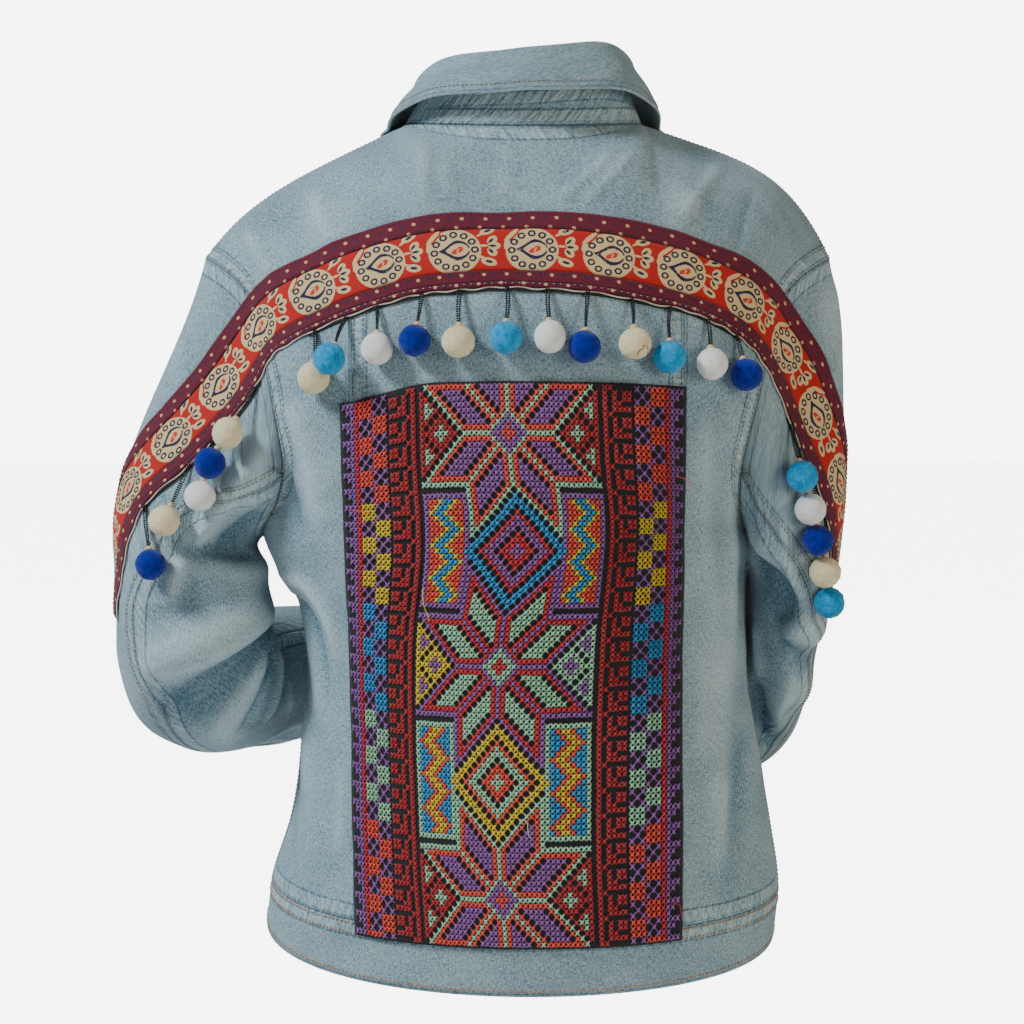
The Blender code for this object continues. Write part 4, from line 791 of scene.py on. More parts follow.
# Button bands
# Two straight bands of denim down the front, the wearer's right one buttoned over the left.
for side, lift, sewn in (("left", 0.0, ("start", "low", "high")),
                         ("right", TOP_BAND_LIFT, ("end", "low", "high"))):
    share, up = np.meshgrid(np.linspace(0, 1, 12), FRONT_ROWS)
    left = across_at("front", -BAND_HALF, up)
    points, like, height = body("front", left + (across_at("front", BAND_HALF, up) - left) * share, up)
    BODY_CLOTHS.append(denim_piece("button_band_" + side, points + like * lift, like, height, sewn,
                                   (0.042, 0.52)))

# Waistband
# One band of doubled denim round the hem, its right end over its left end at the front.
WAISTBAND_LIFT = DOUBLE_CLOTH + LAY_GAP
HEM_LAP = 0.019


def hem_loop(share, up):
    """share runs from the left end, round the back, to the right end that lies on top."""
    lap = np.abs(across_at("front", HEM_LAP, up))
    travel = lap + share * (-4.0 - 2 * lap)
    quarter = -travel
    points = np.zeros(share.shape + (3,))
    like = np.zeros(share.shape + (3,))
    height = np.zeros(share.shape)
    for face, inside, across in (
            ("front", quarter <= 1, np.where(quarter <= 1, travel, 0)),
            ("back", (quarter > 1) & (quarter < 3), quarter - 2),
            ("front", quarter >= 3, 4 - quarter)):
        some = body(face, np.clip(across, -1, 1), up)
        points[inside], like[inside], height[inside] = some[0][inside], some[1][inside], some[2][inside]
    over = (quarter >= 3) * ease((0.056 - points[..., 0]) / 0.032)
    return points + like * (over * WAISTBAND_LIFT)[..., None], like, height


share, up = np.meshgrid(np.linspace(0, 1, 330), np.linspace(0, WAISTBAND_UP, 12))
points, like, height = hem_loop(share, up)
denim_piece("waistband", points, like, height, ("high",), (1.02, 0.045),
            DOUBLE_CLOTH)

# Sleeves
# Two denim pieces each, an upper and an under one, set into the armhole. Both arms are bent,
# so that the cloth folds over itself above the elbow and breaks into creases inside it.
Ring = namedtuple("Ring", "along x y z wide deep")
ARM = table_of(Ring, {
    "left": (
        (1, 0.238, -0.007, -0.303, 0.051, 0.054),
        (2, 0.234, -0.011, -0.339, 0.056, 0.054),
        (3, 0.232, -0.007, -0.373, 0.058, 0.046),
        (4, 0.230, 0.016, -0.401, 0.057, 0.045),
        (5, 0.226, 0.051, -0.412, 0.053, 0.047),
        (6, 0.213, 0.092, -0.412, 0.050, 0.052),
        (7, 0.189, 0.130, -0.413, 0.048, 0.052),
        (8, 0.155, 0.162, -0.416, 0.046, 0.051),
        (9, 0.115, 0.184, -0.416, 0.044, 0.047),
        (10, 0.080, 0.195, -0.413, 0.041, 0.043),
        (11, 0.044, 0.202, -0.411, 0.040, 0.042),
    ),
    "right": (
        (1, 0.1995, 0.008, -0.313, 0.0300, 0.061),
        (2, 0.1955, 0.032, -0.351, 0.0300, 0.059),
        (3, 0.1885, 0.069, -0.393, 0.0345, 0.053),
        (4, 0.1800, 0.102, -0.426, 0.0395, 0.051),
        (5, 0.165, 0.131, -0.445, 0.044, 0.051),
        (6, 0.143, 0.160, -0.451, 0.045, 0.050),
        (7, 0.116, 0.184, -0.446, 0.045, 0.048),
        (8, 0.085, 0.200, -0.438, 0.043, 0.045),
        (9, 0.054, 0.209, -0.431, 0.041, 0.042),
        (10, 0.018, 0.214, -0.427, 0.040, 0.041),
    ),
})
CAP_OUTWARD = {"left": 0.25, "right": 0.14}
# On a sleeve a is the distance round from the outer line towards the back, b the number of the ring
SLEEVE_FOLDS = table_of(Fold, {
    "left": (
        (0.130, 0.55, 0.052, 1.60, 0.011, 0.0030),
        (0.135, 1.05, 0.062, 1.95, 0.010, -0.0015),
        (0.150, 1.90, 0.045, 2.60, 0.012, 0.0045),
        (0.150, 2.50, 0.060, 3.60, 0.010, -0.0050),
        (0.150, 3.10, 0.085, 4.30, 0.010, 0.0045),
        (0.150, 4.20, 0.190, 6.00, 0.010, -0.0040),
        (0.060, 6.20, 0.150, 8.20, 0.012, 0.0035),
    ),
    "right": (
        (0.085, 0.85, 0.020, 1.70, 0.010, 0.0040),
        (0.090, 1.40, 0.020, 2.20, 0.010, -0.0030),
        (0.095, 2.30, 0.015, 2.90, 0.011, 0.0045),
        (0.110, 2.90, 0.050, 3.90, 0.010, -0.0045),
        (0.120, 3.60, 0.090, 5.20, 0.010, 0.0035),
        (0.060, 5.50, 0.140, 7.20, 0.012, 0.0030),
    ),
})
SLEEVE_CREASES = table_of(Crease, {
    "left": (
        (0.086, 0.14, 0.096, 0.58, 0.102, 1.02, 0.0060, 0.0092),
        (0.101, 0.86, 0.094, 0.94, 0.080, 0.98, 0.0055, 0.0040),
        (0.108, 0.28, 0.121, 0.68, 0.110, 1.08, 0.0080, -0.0080),
        (0.155, 1.24, 0.114, 1.03, 0.072, 0.96, 0.0060, -0.0110),
        (0.094, 0.35, 0.107, 0.40, 0.128, 0.37, 0.0050, 0.0032),
        (0.180, 1.44, 0.130, 1.34, 0.086, 1.24, 0.0100, 0.0058),
        (0.088, 1.00, 0.080, 1.42, 0.071, 1.97, 0.0060, 0.0046),
        (0.076, 1.02, 0.068, 1.40, 0.060, 1.75, 0.0050, -0.0038),
        (0.140, 1.80, 0.090, 1.92, 0.046, 1.97, 0.0130, -0.0034),
        (0.190, 2.16, 0.100, 2.50, 0.036, 2.84, 0.0100, 0.0066),
        (0.205, 2.30, 0.104, 2.86, 0.046, 3.66, 0.0056, -0.0112),
        (0.150, 2.70, 0.116, 3.28, 0.084, 4.00, 0.0060, 0.0062),
        (0.168, 2.84, 0.130, 3.42, 0.100, 4.10, 0.0048, -0.0076),
        (-0.030, 0.20, -0.040, 0.60, -0.030, 1.10, 0.0060, 0.0028),
        (-0.070, 0.40, -0.060, 0.90, -0.080, 1.40, 0.0055, 0.0031),
        (-0.090, 2.20, -0.050, 2.80, -0.030, 3.60, 0.0060, 0.0037),
        (-0.120, 3.00, -0.090, 3.60, -0.060, 4.30, 0.0055, 0.0040),
        (-0.130, 4.10, -0.100, 4.60, -0.060, 5.10, 0.0050, -0.0037),
        (0.175, 3.00, 0.150, 3.80, 0.120, 4.50, 0.0050, 0.0040),
        (0.180, 4.60, 0.160, 5.20, 0.130, 6.10, 0.0055, 0.0034),
        (0.090, 5.20, 0.120, 6.20, 0.110, 7.20, 0.0060, 0.0031),
        (-0.060, 6.00, -0.030, 7.00, -0.060, 8.30, 0.0060, 0.0031),
        (0.030, 7.80, 0.050, 8.60, 0.060, 9.60, 0.0055, 0.0028),
    ),
    "right": (
        (0.138, 0.26, 0.109, 0.60, 0.076, 0.88, 0.0052, 0.0078),
        (0.142, 0.44, 0.114, 0.72, 0.078, 0.97, 0.0066, -0.0110),
        (0.092, 0.82, 0.104, 1.04, 0.118, 1.34, 0.0090, -0.0040),
        (0.108, 1.48, 0.076, 1.70, 0.030, 2.30, 0.0060, -0.0046),
        (0.110, 1.20, 0.074, 1.40, 0.040, 1.76, 0.0070, 0.0040),
        (0.120, 2.40, 0.091, 3.05, 0.062, 4.00, 0.0074, -0.0105),
        (0.063, 2.05, 0.078, 2.55, 0.060, 3.60, 0.0070, 0.0034),
        (0.144, 0.16, 0.162, 0.62, 0.172, 1.10, 0.0150, 0.0050),
        (0.108, 0.06, 0.118, 0.34, 0.150, 0.74, 0.0055, -0.0028),
        (0.070, 0.30, 0.084, 0.50, 0.098, 0.56, 0.0045, 0.0025),
        (0.026, 0.06, 0.004, 0.16, -0.020, 0.34, 0.0060, 0.0031),
        (0.136, 1.50, 0.124, 1.94, 0.106, 2.40, 0.0050, 0.0034),
        (-0.050, 0.30, -0.060, 0.70, -0.050, 1.20, 0.0060, 0.0031),
        (-0.090, 1.60, -0.060, 2.20, -0.040, 2.90, 0.0060, 0.0037),
        (-0.110, 2.50, -0.090, 3.10, -0.060, 3.90, 0.0055, 0.0040),
        (-0.120, 3.60, -0.100, 4.20, -0.060, 4.90, 0.0050, -0.0034),
        (0.160, 2.80, 0.140, 3.60, 0.110, 4.40, 0.0050, 0.0040),
        (0.090, 4.80, 0.110, 5.80, 0.100, 6.80, 0.0060, 0.0031),
        (-0.050, 5.60, -0.020, 6.50, -0.050, 7.70, 0.0060, 0.0031),
    ),
})
SLEEVE_ROUND = 0.330
RING_STEP = 0.036
# The share of the way round a sleeve at which its back seam runs, for places along it
BACK_SEAM = ((0, 0.300), (0.5, 0.275), (1, 0.205), (1.6, 0.150), (2.4, 0.135), (3.4, 0.170),
             (5, 0.235), (12, 0.250))
INNER_SEAM = 0.600
BACK_SEAM_UP = 1.42
INNER_SEAM_UP = 1.10


def armhole_table(side):
    ups_back = np.linspace(SHOULDER_UP, ARMPIT_UP, 161)
    edge = np.full(ups_back.shape, SIDES[side])
    back = body_plain("back", edge, ups_back)
    front = body_plain("front", edge, ups_back[::-1])
    turns = [0.5 * run / run[-1] for run in (travelled_along(back), travelled_along(front))]
    return np.concatenate([turns[0], 0.5 + turns[1][1:]]), np.concatenate([back, front[1:]])


ARMHOLES = {side: armhole_table(side) for side in SIDES}


def armhole(side, turn):
    return read_off(np.mod(turn, 1.0), *ARMHOLES[side])


def turn_of(side, face, up):
    """The share of the way round the armhole at a height of the body."""
    keys = ARMHOLES[side][0]
    ups = np.linspace(SHOULDER_UP, ARMPIT_UP, 161)
    if face == "back":
        return float(np.interp(-up, -ups, keys[:161]))
    return float(np.interp(up, ups[::-1], keys[160:]))


def arm_line(side):
    """Middle line of a sleeve with its outward and backward directions, carried without twist."""
    rings = ARM[side]
    fine = np.linspace(rings[0].along, rings[-1].along, 16 * (len(rings) - 1) + 1)
    outward = SIDES[side] * from_table(rings, "x", fine)
    line = np.stack([outward, from_table(rings, "y", fine), from_table(rings, "z", fine)], axis=-1)
    tangent = np.pad(unit(np.gradient(line, axis=0)), ((12, 12), (0, 0)), mode="edge")
    evened = [np.convolve(tangent[:, axis], np.ones(25) / 25, mode="valid") for axis in range(3)]
    tangent = unit(np.stack(evened, axis=-1))
    out = np.zeros_like(line)
    direction = np.array([SIDES[side], 0.0, 0.0])
    for k in range(len(line)):
        direction = unit(direction - tangent[k] * np.dot(direction, tangent[k]))
        out[k] = direction
    return fine, line, tangent, out, SIDES[side] * np.cross(tangent, out)


ARM_LINES = {side: arm_line(side) for side in SIDES}


def sleeve_ring(side, turn, along):
    fine, line, tangent, out, back = ARM_LINES[side]
    along = np.clip(along, 1.0, None)
    line, tangent, out, back = (read_off(along, fine, field) for field in (line, tangent, out, back))
    wide = from_table(ARM[side], "wide", along)[..., None]
    deep = from_table(ARM[side], "deep", along)[..., None]
    angle = 2 * math.pi * turn
    return line + wide * np.cos(angle)[..., None] * out + deep * np.sin(angle)[..., None] * back, tangent


def sleeve_plain(side, turn, along):
    turn, along = np.broadcast_arrays(np.asarray(turn, float), np.asarray(along, float))
    ring, axis = sleeve_ring(side, turn, along)
    start = armhole(side, turn)
    end, end_axis = sleeve_ring(side, turn, np.ones(turn.shape))
    top = 0.5 + 0.5 * np.cos(2 * math.pi * turn)
    upper, lower = np.clip(2 * top - 1, 0, 1), np.clip(1 - 2 * top, 0, 1)
    outward = 0.10 + (CAP_OUTWARD[side] - 0.10) * upper + 0.15 * lower
    lead = np.stack([SIDES[side] * outward, 0 * top, -np.ones(top.shape)], axis=-1)
    span = np.linalg.norm(end - start, axis=-1, keepdims=True)
    cap = between(start, unit(lead) * span * 0.36, end, end_axis * span * 0.34, np.clip(along, 0, 1))
    return np.where((along < 1.0)[..., None], cap, ring)


def sleeve_normal(side, turn, along):
    along = np.clip(along, 0.006, ARM[side][-1].along - 0.006)
    along_a, along_b = slopes_of(lambda a, b: sleeve_plain(side, a, b), turn, along, -9.0, 9.0)
    return unit(SIDES[side] * np.cross(along_a, along_b))


def sleeve(side, turn, along):
    turn, along = np.broadcast_arrays(np.asarray(turn, float), np.asarray(along, float))
    points = sleeve_plain(side, turn, along)
    like = sleeve_normal(side, turn, along)
    a = (np.mod(turn + 0.3, 1.0) - 0.3) * SLEEVE_ROUND
    large = fold_height(SLEEVE_FOLDS[side], a, along, RING_STEP)
    fine = crease_height(SLEEVE_CREASES[side], a, along, RING_STEP) + unevenness(a, along * RING_STEP + 0.4)
    to_cuff = ease((ARM[side][-2].along - along) / 0.8)
    height = (large * ease(along / 0.4) + fine * ease(along / 0.12)) * to_cuff
    return points + like * height[..., None], like, height


def back_seam(along):
    return smooth([key for key, _ in BACK_SEAM], [value for _, value in BACK_SEAM], along)


SLEEVE_CLOTHS = []
for side in SIDES:
    last = ARM[side][-2].along
    rows = np.concatenate([np.linspace(0, 1, 70)[:-1], np.linspace(1, last, int(20 * (last - 1)) + 1)])
    join_back = turn_of(side, "back", BACK_SEAM_UP)
    join_front = turn_of(side, "front", INNER_SEAM_UP)
    for part, columns, area, cut in (("upper", 90, 0.115, (0.25, 0.56)), ("under", 50, 0.046, (0.15, 0.50))):
        share, along = np.meshgrid(np.linspace(0, 1, columns), rows)
        hold = 1 - ease(along)
        if part == "upper":
            first = INNER_SEAM - 1 + (join_front - INNER_SEAM) * hold
            final = back_seam(along) + (join_back - back_seam(0.0)) * hold
        else:
            first = back_seam(along) + (join_back - back_seam(0.0)) * hold
            final = INNER_SEAM + (join_front - INNER_SEAM) * hold
        points, like, height = sleeve(side, first + (final - first) * share, along)
        SLEEVE_CLOTHS.append(denim_piece(f"sleeve_{part}_{side}", points, like, height, ALL_ROUND, cut))

# Cuffs
# One band of doubled denim at each wrist, its end lapped over its start and buttoned.
CUFF_LAP = 0.07
CUFF_START = 0.42
CUFF_LIFT = DOUBLE_CLOTH + 0.0010
for side in SIDES:
    wrist = np.linspace(ARM[side][-2].along, ARM[side][-1].along, 12)
    column, along = np.meshgrid(np.linspace(0, 1 + CUFF_LAP, 96), wrist)
    turn = CUFF_START + column
    like = sleeve_normal(side, turn, along)
    over = ease((column - 1 + CUFF_LAP) / CUFF_LAP)
    points = sleeve_plain(side, turn, along) + like * (over * CUFF_LIFT)[..., None]
    denim_piece("cuff_" + side, points, like, None, ("low",), (0.29, 0.045),
                DOUBLE_CLOTH)

# Collar
# A stand on the neck seam and a leaf that folds over it. The leaf lies on the yoke at the back
# and opens towards its points at the front.
Leaf = namedtuple("Leaf", "turn top_out top_up fold_out fold_up edge_out edge_up")
COLLAR = (
    Leaf(0.00, -0.0060, 0.0262, -0.0030, 0.0535, 0.0140, 0.0235),
    Leaf(0.25, -0.0070, 0.0258, -0.0060, 0.0510, 0.0150, 0.0200),
    Leaf(0.50, -0.0080, 0.0175, -0.0090, 0.0330, 0.0140, -0.0010),
    Leaf(0.75, -0.0060, 0.0170, -0.0040, 0.0310, 0.0290, -0.0240),
    Leaf(0.96, -0.0040, 0.0180, -0.0010, 0.0300, 0.0360, -0.0440),
)
COLLAR_TILT = 0.0040
FOLD_RADIUS = 0.0045
LEAF_CLOTH = 0.0017
LEAF_WAYS = (0.0, 0.25, 0.38, 0.45, 0.52, 0.60, 0.80, 1.0)


def ring_outward(turn):
    step = 0.01
    along = unit(neck_ring(np.asarray(turn) + step) - neck_ring(np.asarray(turn) - step))
    return unit(np.stack([along[..., 1], -along[..., 0], 0 * along[..., 0]], axis=-1))


def collar_point(turn, out, rise):
    return neck_ring(turn) + ring_outward(turn) * out[..., None] + np.array([0, 0, 1.0]) * rise[..., None]


def end_turn(x):
    """How far round the neck seam a collar's end stands at the edge of the front band."""
    return 1 - math.asin(abs(x - NECK_SHIFT) / NECK_HALF) / math.pi


def stand_surface(turn, rise_share):
    size = np.abs(turn)
    out = from_table(COLLAR, "top_out", size) * rise_share
    tilt = COLLAR_TILT * np.sin(math.pi * turn)
    rise = (from_table(COLLAR, "top_up", size) + tilt - 4 * SEAM_GAP) * rise_share + SEAM_GAP * 2
    return collar_point(turn, out, rise)


def leaf_surface(turns, ways):
    """ways run from the top of the stand (0) over the fold to the free edge (1)."""
    r = FOLD_RADIUS
    out = np.zeros((len(ways), len(turns)))
    rise = np.zeros((len(ways), len(turns)))
    for i, turn in enumerate(turns):
        size = abs(turn)
        tilt = COLLAR_TILT * math.sin(math.pi * turn)
        pick = lambda value: float(from_table(COLLAR, value, size))
        top_out, top_up = pick("top_out") - 0.0026, pick("top_up") + tilt + 2 * SEAM_GAP
        fold_out, fold_up = pick("fold_out"), pick("fold_up") + 2 * tilt
        edge_out, edge_up = pick("edge_out"), pick("edge_up") + tilt
        outs = (top_out, fold_out - r, fold_out - 0.7 * r, fold_out, fold_out + 0.7 * r, fold_out + r,
                (fold_out + r + edge_out) / 2 + 0.0020, edge_out)
        rises = (top_up, fold_up - 1.2 * r, fold_up - 0.3 * r, fold_up, fold_up - 0.3 * r, fold_up - 1.2 * r,
                 (fold_up - 1.2 * r + edge_up) / 2, edge_up)
        out[:, i] = smooth(LEAF_WAYS, outs, ways)
        rise[:, i] = smooth(LEAF_WAYS, rises, ways)
    grid = np.broadcast_to(np.asarray(turns), out.shape)
    return collar_point(grid, out, rise), grid


def tree_of(pieces):
    """A search tree over the outer faces of several pieces of cloth, and the direction that each face has."""
    verts, faces, facing = [], [], []
    start = 0
    for piece in pieces:
        outer, like = CLOTHS[piece.name][:2]
        rows, columns = outer.shape[:2]
        index = start + np.arange(rows * columns).reshape(rows, columns)
        verts.append(outer.reshape(-1, 3))
        faces.append(grid_faces(index))
        facing.append(like[:-1, :-1].reshape(-1, 3))
        start += rows * columns
    tree = BVHTree.FromPolygons(np.concatenate(verts).tolist(), np.concatenate(faces).tolist())
    return tree, np.concatenate(facing)


def snap(tree, point):
    place, _, face, _ = tree[0].find_nearest(Vector(point))
    return np.array(place), tree[1][face]


def rest_clear(points, away, tree, gap, rounds=10, most=0.006):
    """Move points away from the cloth below until each stands clear of it, but never further than most."""
    points = points.copy()
    spent = np.zeros(points.shape[:-1])
    for _ in range(rounds):
        moved = False
        for spot in np.ndindex(points.shape[:-1]):
            place, normal = snap(tree, points[spot])
            level = float(np.dot(points[spot] - place, normal))
            beside = abs(level) < 0.6 * float(np.linalg.norm(points[spot] - place))
            short = 0.0 if beside else gap - level
            push = min(short * 0.8, most - spent[spot])
            if short > 2e-5 and push > 0:
                points[spot] += away[spot] * push
                spent[spot] += push
                moved = True
        if not moved:
            break
    return points


ends = (-end_turn(-BAND_HALF), end_turn(BAND_HALF))
turn, rise_share = np.meshgrid(np.linspace(*ends, 110), np.linspace(0, 1, 9))
points = stand_surface(turn, rise_share)
like = grid_normals(points, ring_outward(turn))
denim_piece("collar_stand", points, like, None, ("low", "high"), (0.46, 0.034),
            DOUBLE_CLOTH)

leaf_turns = np.linspace(*ends, 120)
points, turn = leaf_surface(leaf_turns, np.linspace(0, 1, 34))
like = unit(np.cross(np.gradient(points, axis=1), np.gradient(points, axis=0)))
if np.dot(like[-1, 60], ring_outward(np.array(0.0))) < 0:
    like = -like
wave = 0.0008 * np.sin(29 * turn + 1.0) * np.linspace(0, 1, 34)[:, None]**2
points = points + like * wave[..., None]
fall = points[18:] - like[18:] * LEAF_CLOTH
away = unit(ring_outward(turn[18:]) + np.array([0, 0, 0.8]))
points[18:] += rest_clear(fall, away, tree_of(BODY_CLOTHS), 4 * LAY_GAP) - fall
collar_leaf = cloth_shell("collar_leaf_cloth", points, like, LEAF_CLOTH, (), None, DENIM)
belongs(collar_leaf, "denim", "collar_leaf")

# Topstitching
# Rows of thick thread beside the felled seams: pale blue-grey on the body and sleeves,
# and tan on the waistband, cuffs and button band.
STITCH_SPACING = 0.0033
STITCH_LONG = 0.0027
STITCH_WIDE = 0.0012
Row = namedtuple("Row", "thread piece side aside")
NEAR_ROW = 0.0018
FAR_ROW = 0.0085
TWIN_ROWS = [("back_yoke", "start"), ("back_yoke", "end"), ("back_center", "start"), ("back_center", "end")]
LONE_ROWS = [
    Row("pale", "collar_leaf", "high", 0.0060),
    Row("pale", "collar_leaf", "start", 0.0060),
    Row("pale", "collar_leaf", "end", 0.0060),
    Row("tan", "waistband", "high", 0.0022),
    Row("tan", "waistband", "high", 0.0090),
    Row("tan", "waistband", "low", 0.0040),
    Row("tan", "waistband", "end", 0.0040),
    Row("tan", "button_band_right", "start", 0.0030),
    Row("tan", "button_band_right", "end", 0.0030),
]
for side in SIDES:
    TWIN_ROWS += [("back_side_" + side, "end"), ("front_" + side, "end"), ("sleeve_upper_" + side, "end")]
    LONE_ROWS += [
        Row("pale", "front_" + side, "high", NEAR_ROW),
        Row("tan", "cuff_" + side, "low", 0.0020),
        Row("tan", "cuff_" + side, "high", 0.0035),
    ]
ROWS = LONE_ROWS + [Row("pale", *twin, aside) for twin in TWIN_ROWS for aside in (NEAR_ROW, FAR_ROW)]


def row_beside(piece, side, aside, lift=0.00025):
    """Points and directions of a line at a distance from one side of a piece of cloth."""
    outer, normals, across, down = CLOTHS[piece + "_cloth"]
    if side in ("start", "end"):
        travelled, lines, facing = across, outer, normals
    else:
        travelled, lines, facing = down.T, outer.transpose(1, 0, 2), normals.transpose(1, 0, 2)
    points, directions = [], []
    for k in range(len(lines)):
        length = travelled[k, -1]
        at = aside if side in ("start", "low") else length - aside
        directions.append(unit(read_off(at, travelled[k], facing[k])))
        points.append(read_off(at, travelled[k], lines[k]) + directions[-1] * lift)
    return np.array(points), np.array(directions)


def seam_lines(name, lines):
    """One mesh of loose lines, each point with the direction that it faces."""
    verts, edges, facing = [], [], []
    start = 0
    for points, directions in lines:
        verts.append(points)
        facing.append(directions)
        edges.append(np.stack([np.arange(len(points) - 1), np.arange(1, len(points))], axis=-1) + start)
        start += len(points)
    mesh = bpy.data.meshes.new(name)
    mesh.from_pydata(np.concatenate(verts), np.concatenate(edges), [])
    attribute_made = mesh.attributes.new("facing", "FLOAT_VECTOR", "POINT")
    attribute_made.data.foreach_set("vector", np.concatenate(facing).ravel())
    return add_object(name, mesh)


def grain_tree(name, finish, segments, rings):
    """Small rounded grains, set at even steps along lines and laid flat on the cloth."""
    tree = bpy.data.node_groups.new(name, "GeometryNodeTree")
    tree.interface.new_socket("Geometry", in_out="INPUT", socket_type="NodeSocketGeometry")
    ports = {label: tree.interface.new_socket(label, in_out="INPUT", socket_type="NodeSocketFloat").identifier
             for label in ("Spacing", "Length", "Width")}
    tree.interface.new_socket("Geometry", in_out="OUTPUT", socket_type="NodeSocketGeometry")
    entry = tree.nodes.new("NodeGroupInput").outputs
    curve = place_node(tree, "GeometryNodeMeshToCurve", {"Mesh": entry["Geometry"]}).outputs["Curve"]
    steps = {"Curve": curve, "Length": entry["Spacing"]}
    even = place_node(tree, "GeometryNodeResampleCurve", steps, mode="LENGTH")
    ball = {"Segments": segments, "Rings": rings, "Radius": 0.5}
    grain = place_node(tree, "GeometryNodeMeshUVSphere", ball)
    sizes = {"X": entry["Length"], "Y": entry["Width"], "Z": entry["Width"]}
    size = place_node(tree, "ShaderNodeCombineXYZ", sizes)
    tangent = place_node(tree, "GeometryNodeInputTangent").outputs["Tangent"]
    along = place_node(tree, "FunctionNodeAlignRotationToVector", {"Vector": tangent}, axis="X")
    facing = place_node(tree, "GeometryNodeInputNamedAttribute", {"Name": "facing"}, data_type="FLOAT_VECTOR")
    turn = {"Rotation": along.outputs["Rotation"], "Vector": facing.outputs["Attribute"]}
    flat = place_node(tree, "FunctionNodeAlignRotationToVector", turn, axis="Z", pivot_axis="X")
    copies = place_node(tree, "GeometryNodeInstanceOnPoints", {
        "Points": even.outputs["Curve"], "Instance": grain.outputs["Mesh"],
        "Rotation": flat.outputs["Rotation"], "Scale": size.outputs["Vector"]})
    real = place_node(tree, "GeometryNodeRealizeInstances", {"Geometry": copies.outputs["Instances"]})
    coating = {"Geometry": real.outputs["Geometry"], "Material": finish}
    coat = place_node(tree, "GeometryNodeSetMaterial", coating)
    feed(tree, tree.nodes.new("NodeGroupOutput").inputs["Geometry"], coat.outputs["Geometry"])
    return tree, ports


def grain_rows(name, lines, finish, slot, node=None, segments=5, rings=3, **sizes):
    """Grains along lines, as a plain mesh with no modifier left on it."""
    holder = seam_lines(name, lines)
    modifier = holder.modifiers.new("grains", "NODES")
    modifier.node_group, ports = grain_tree(name + "_grains", finish, segments, rings)
    for label, value in sizes.items():
        modifier[ports[label]] = value
    depsgraph = bpy.context.evaluated_depsgraph_get()
    mesh = bpy.data.meshes.new_from_object(holder.evaluated_get(depsgraph))
    holder.modifiers.clear()
    holder.data = mesh
    mesh.shade_smooth()
    return belongs(holder, slot, node)


def thread(name, dark, light):
    made, tree, sockets = new_material(name, Roughness=0.65, Sheen_Weight=0.1)
    spots = object_spots(tree)
    shade = noise(tree, spots, 260, 2.0)
    feed(tree, sockets["Base Color"], blend_colours(tree, shade, dark, light))
    bump(tree, sockets, noise(tree, spots, 2600, 1.0), 0.0001)
    return made


THREADS = {
    "pale": thread("denim_thread", tint(84, 88, 96), tint(176, 168, 160)),
    "tan": thread("tan_thread", tint(150, 92, 48), tint(214, 150, 92)),
}
for colour, finish in THREADS.items():
    lines = [row_beside(row.piece, row.side, row.aside) for row in ROWS if row.thread == colour]
    grain_rows(f"{colour}_topstitching", lines, finish, "denim",
               Spacing=STITCH_SPACING, Length=STITCH_LONG, Width=STITCH_WIDE)

# Buttons
# Stamped brass buttons, round and slightly domed with a raised rim: six down the front
# and one on each cuff.
BUTTON_PROFILE = (
    (0.0000, 0.0027), (0.0014, 0.0028), (0.0022, 0.0024), (0.0036, 0.0022), (0.0052, 0.0023),
    (0.0060, 0.0030), (0.0070, 0.0033), (0.0079, 0.0030), (0.0085, 0.0021), (0.0085, 0.0010),
    (0.0079, 0.0000),
)


def aged_brass():
    made, tree, sockets = new_material("aged_brass", Metallic=0.9)
    spots = object_spots(tree)
    tarnish = ramp(tree, noise(tree, spots, 420, 3.0), 0.35, 0.70)
    feed(tree, sockets["Base Color"], blend_colours(tree, tarnish, tint(176, 142, 98), tint(104, 80, 56)))
    feed(tree, sockets["Roughness"], times_plus(tree, tarnish, 0.28, 0.26))
    bump(tree, sockets, noise(tree, spots, 1500, 2.0), 0.00006)
    return made


BRASS = aged_brass()


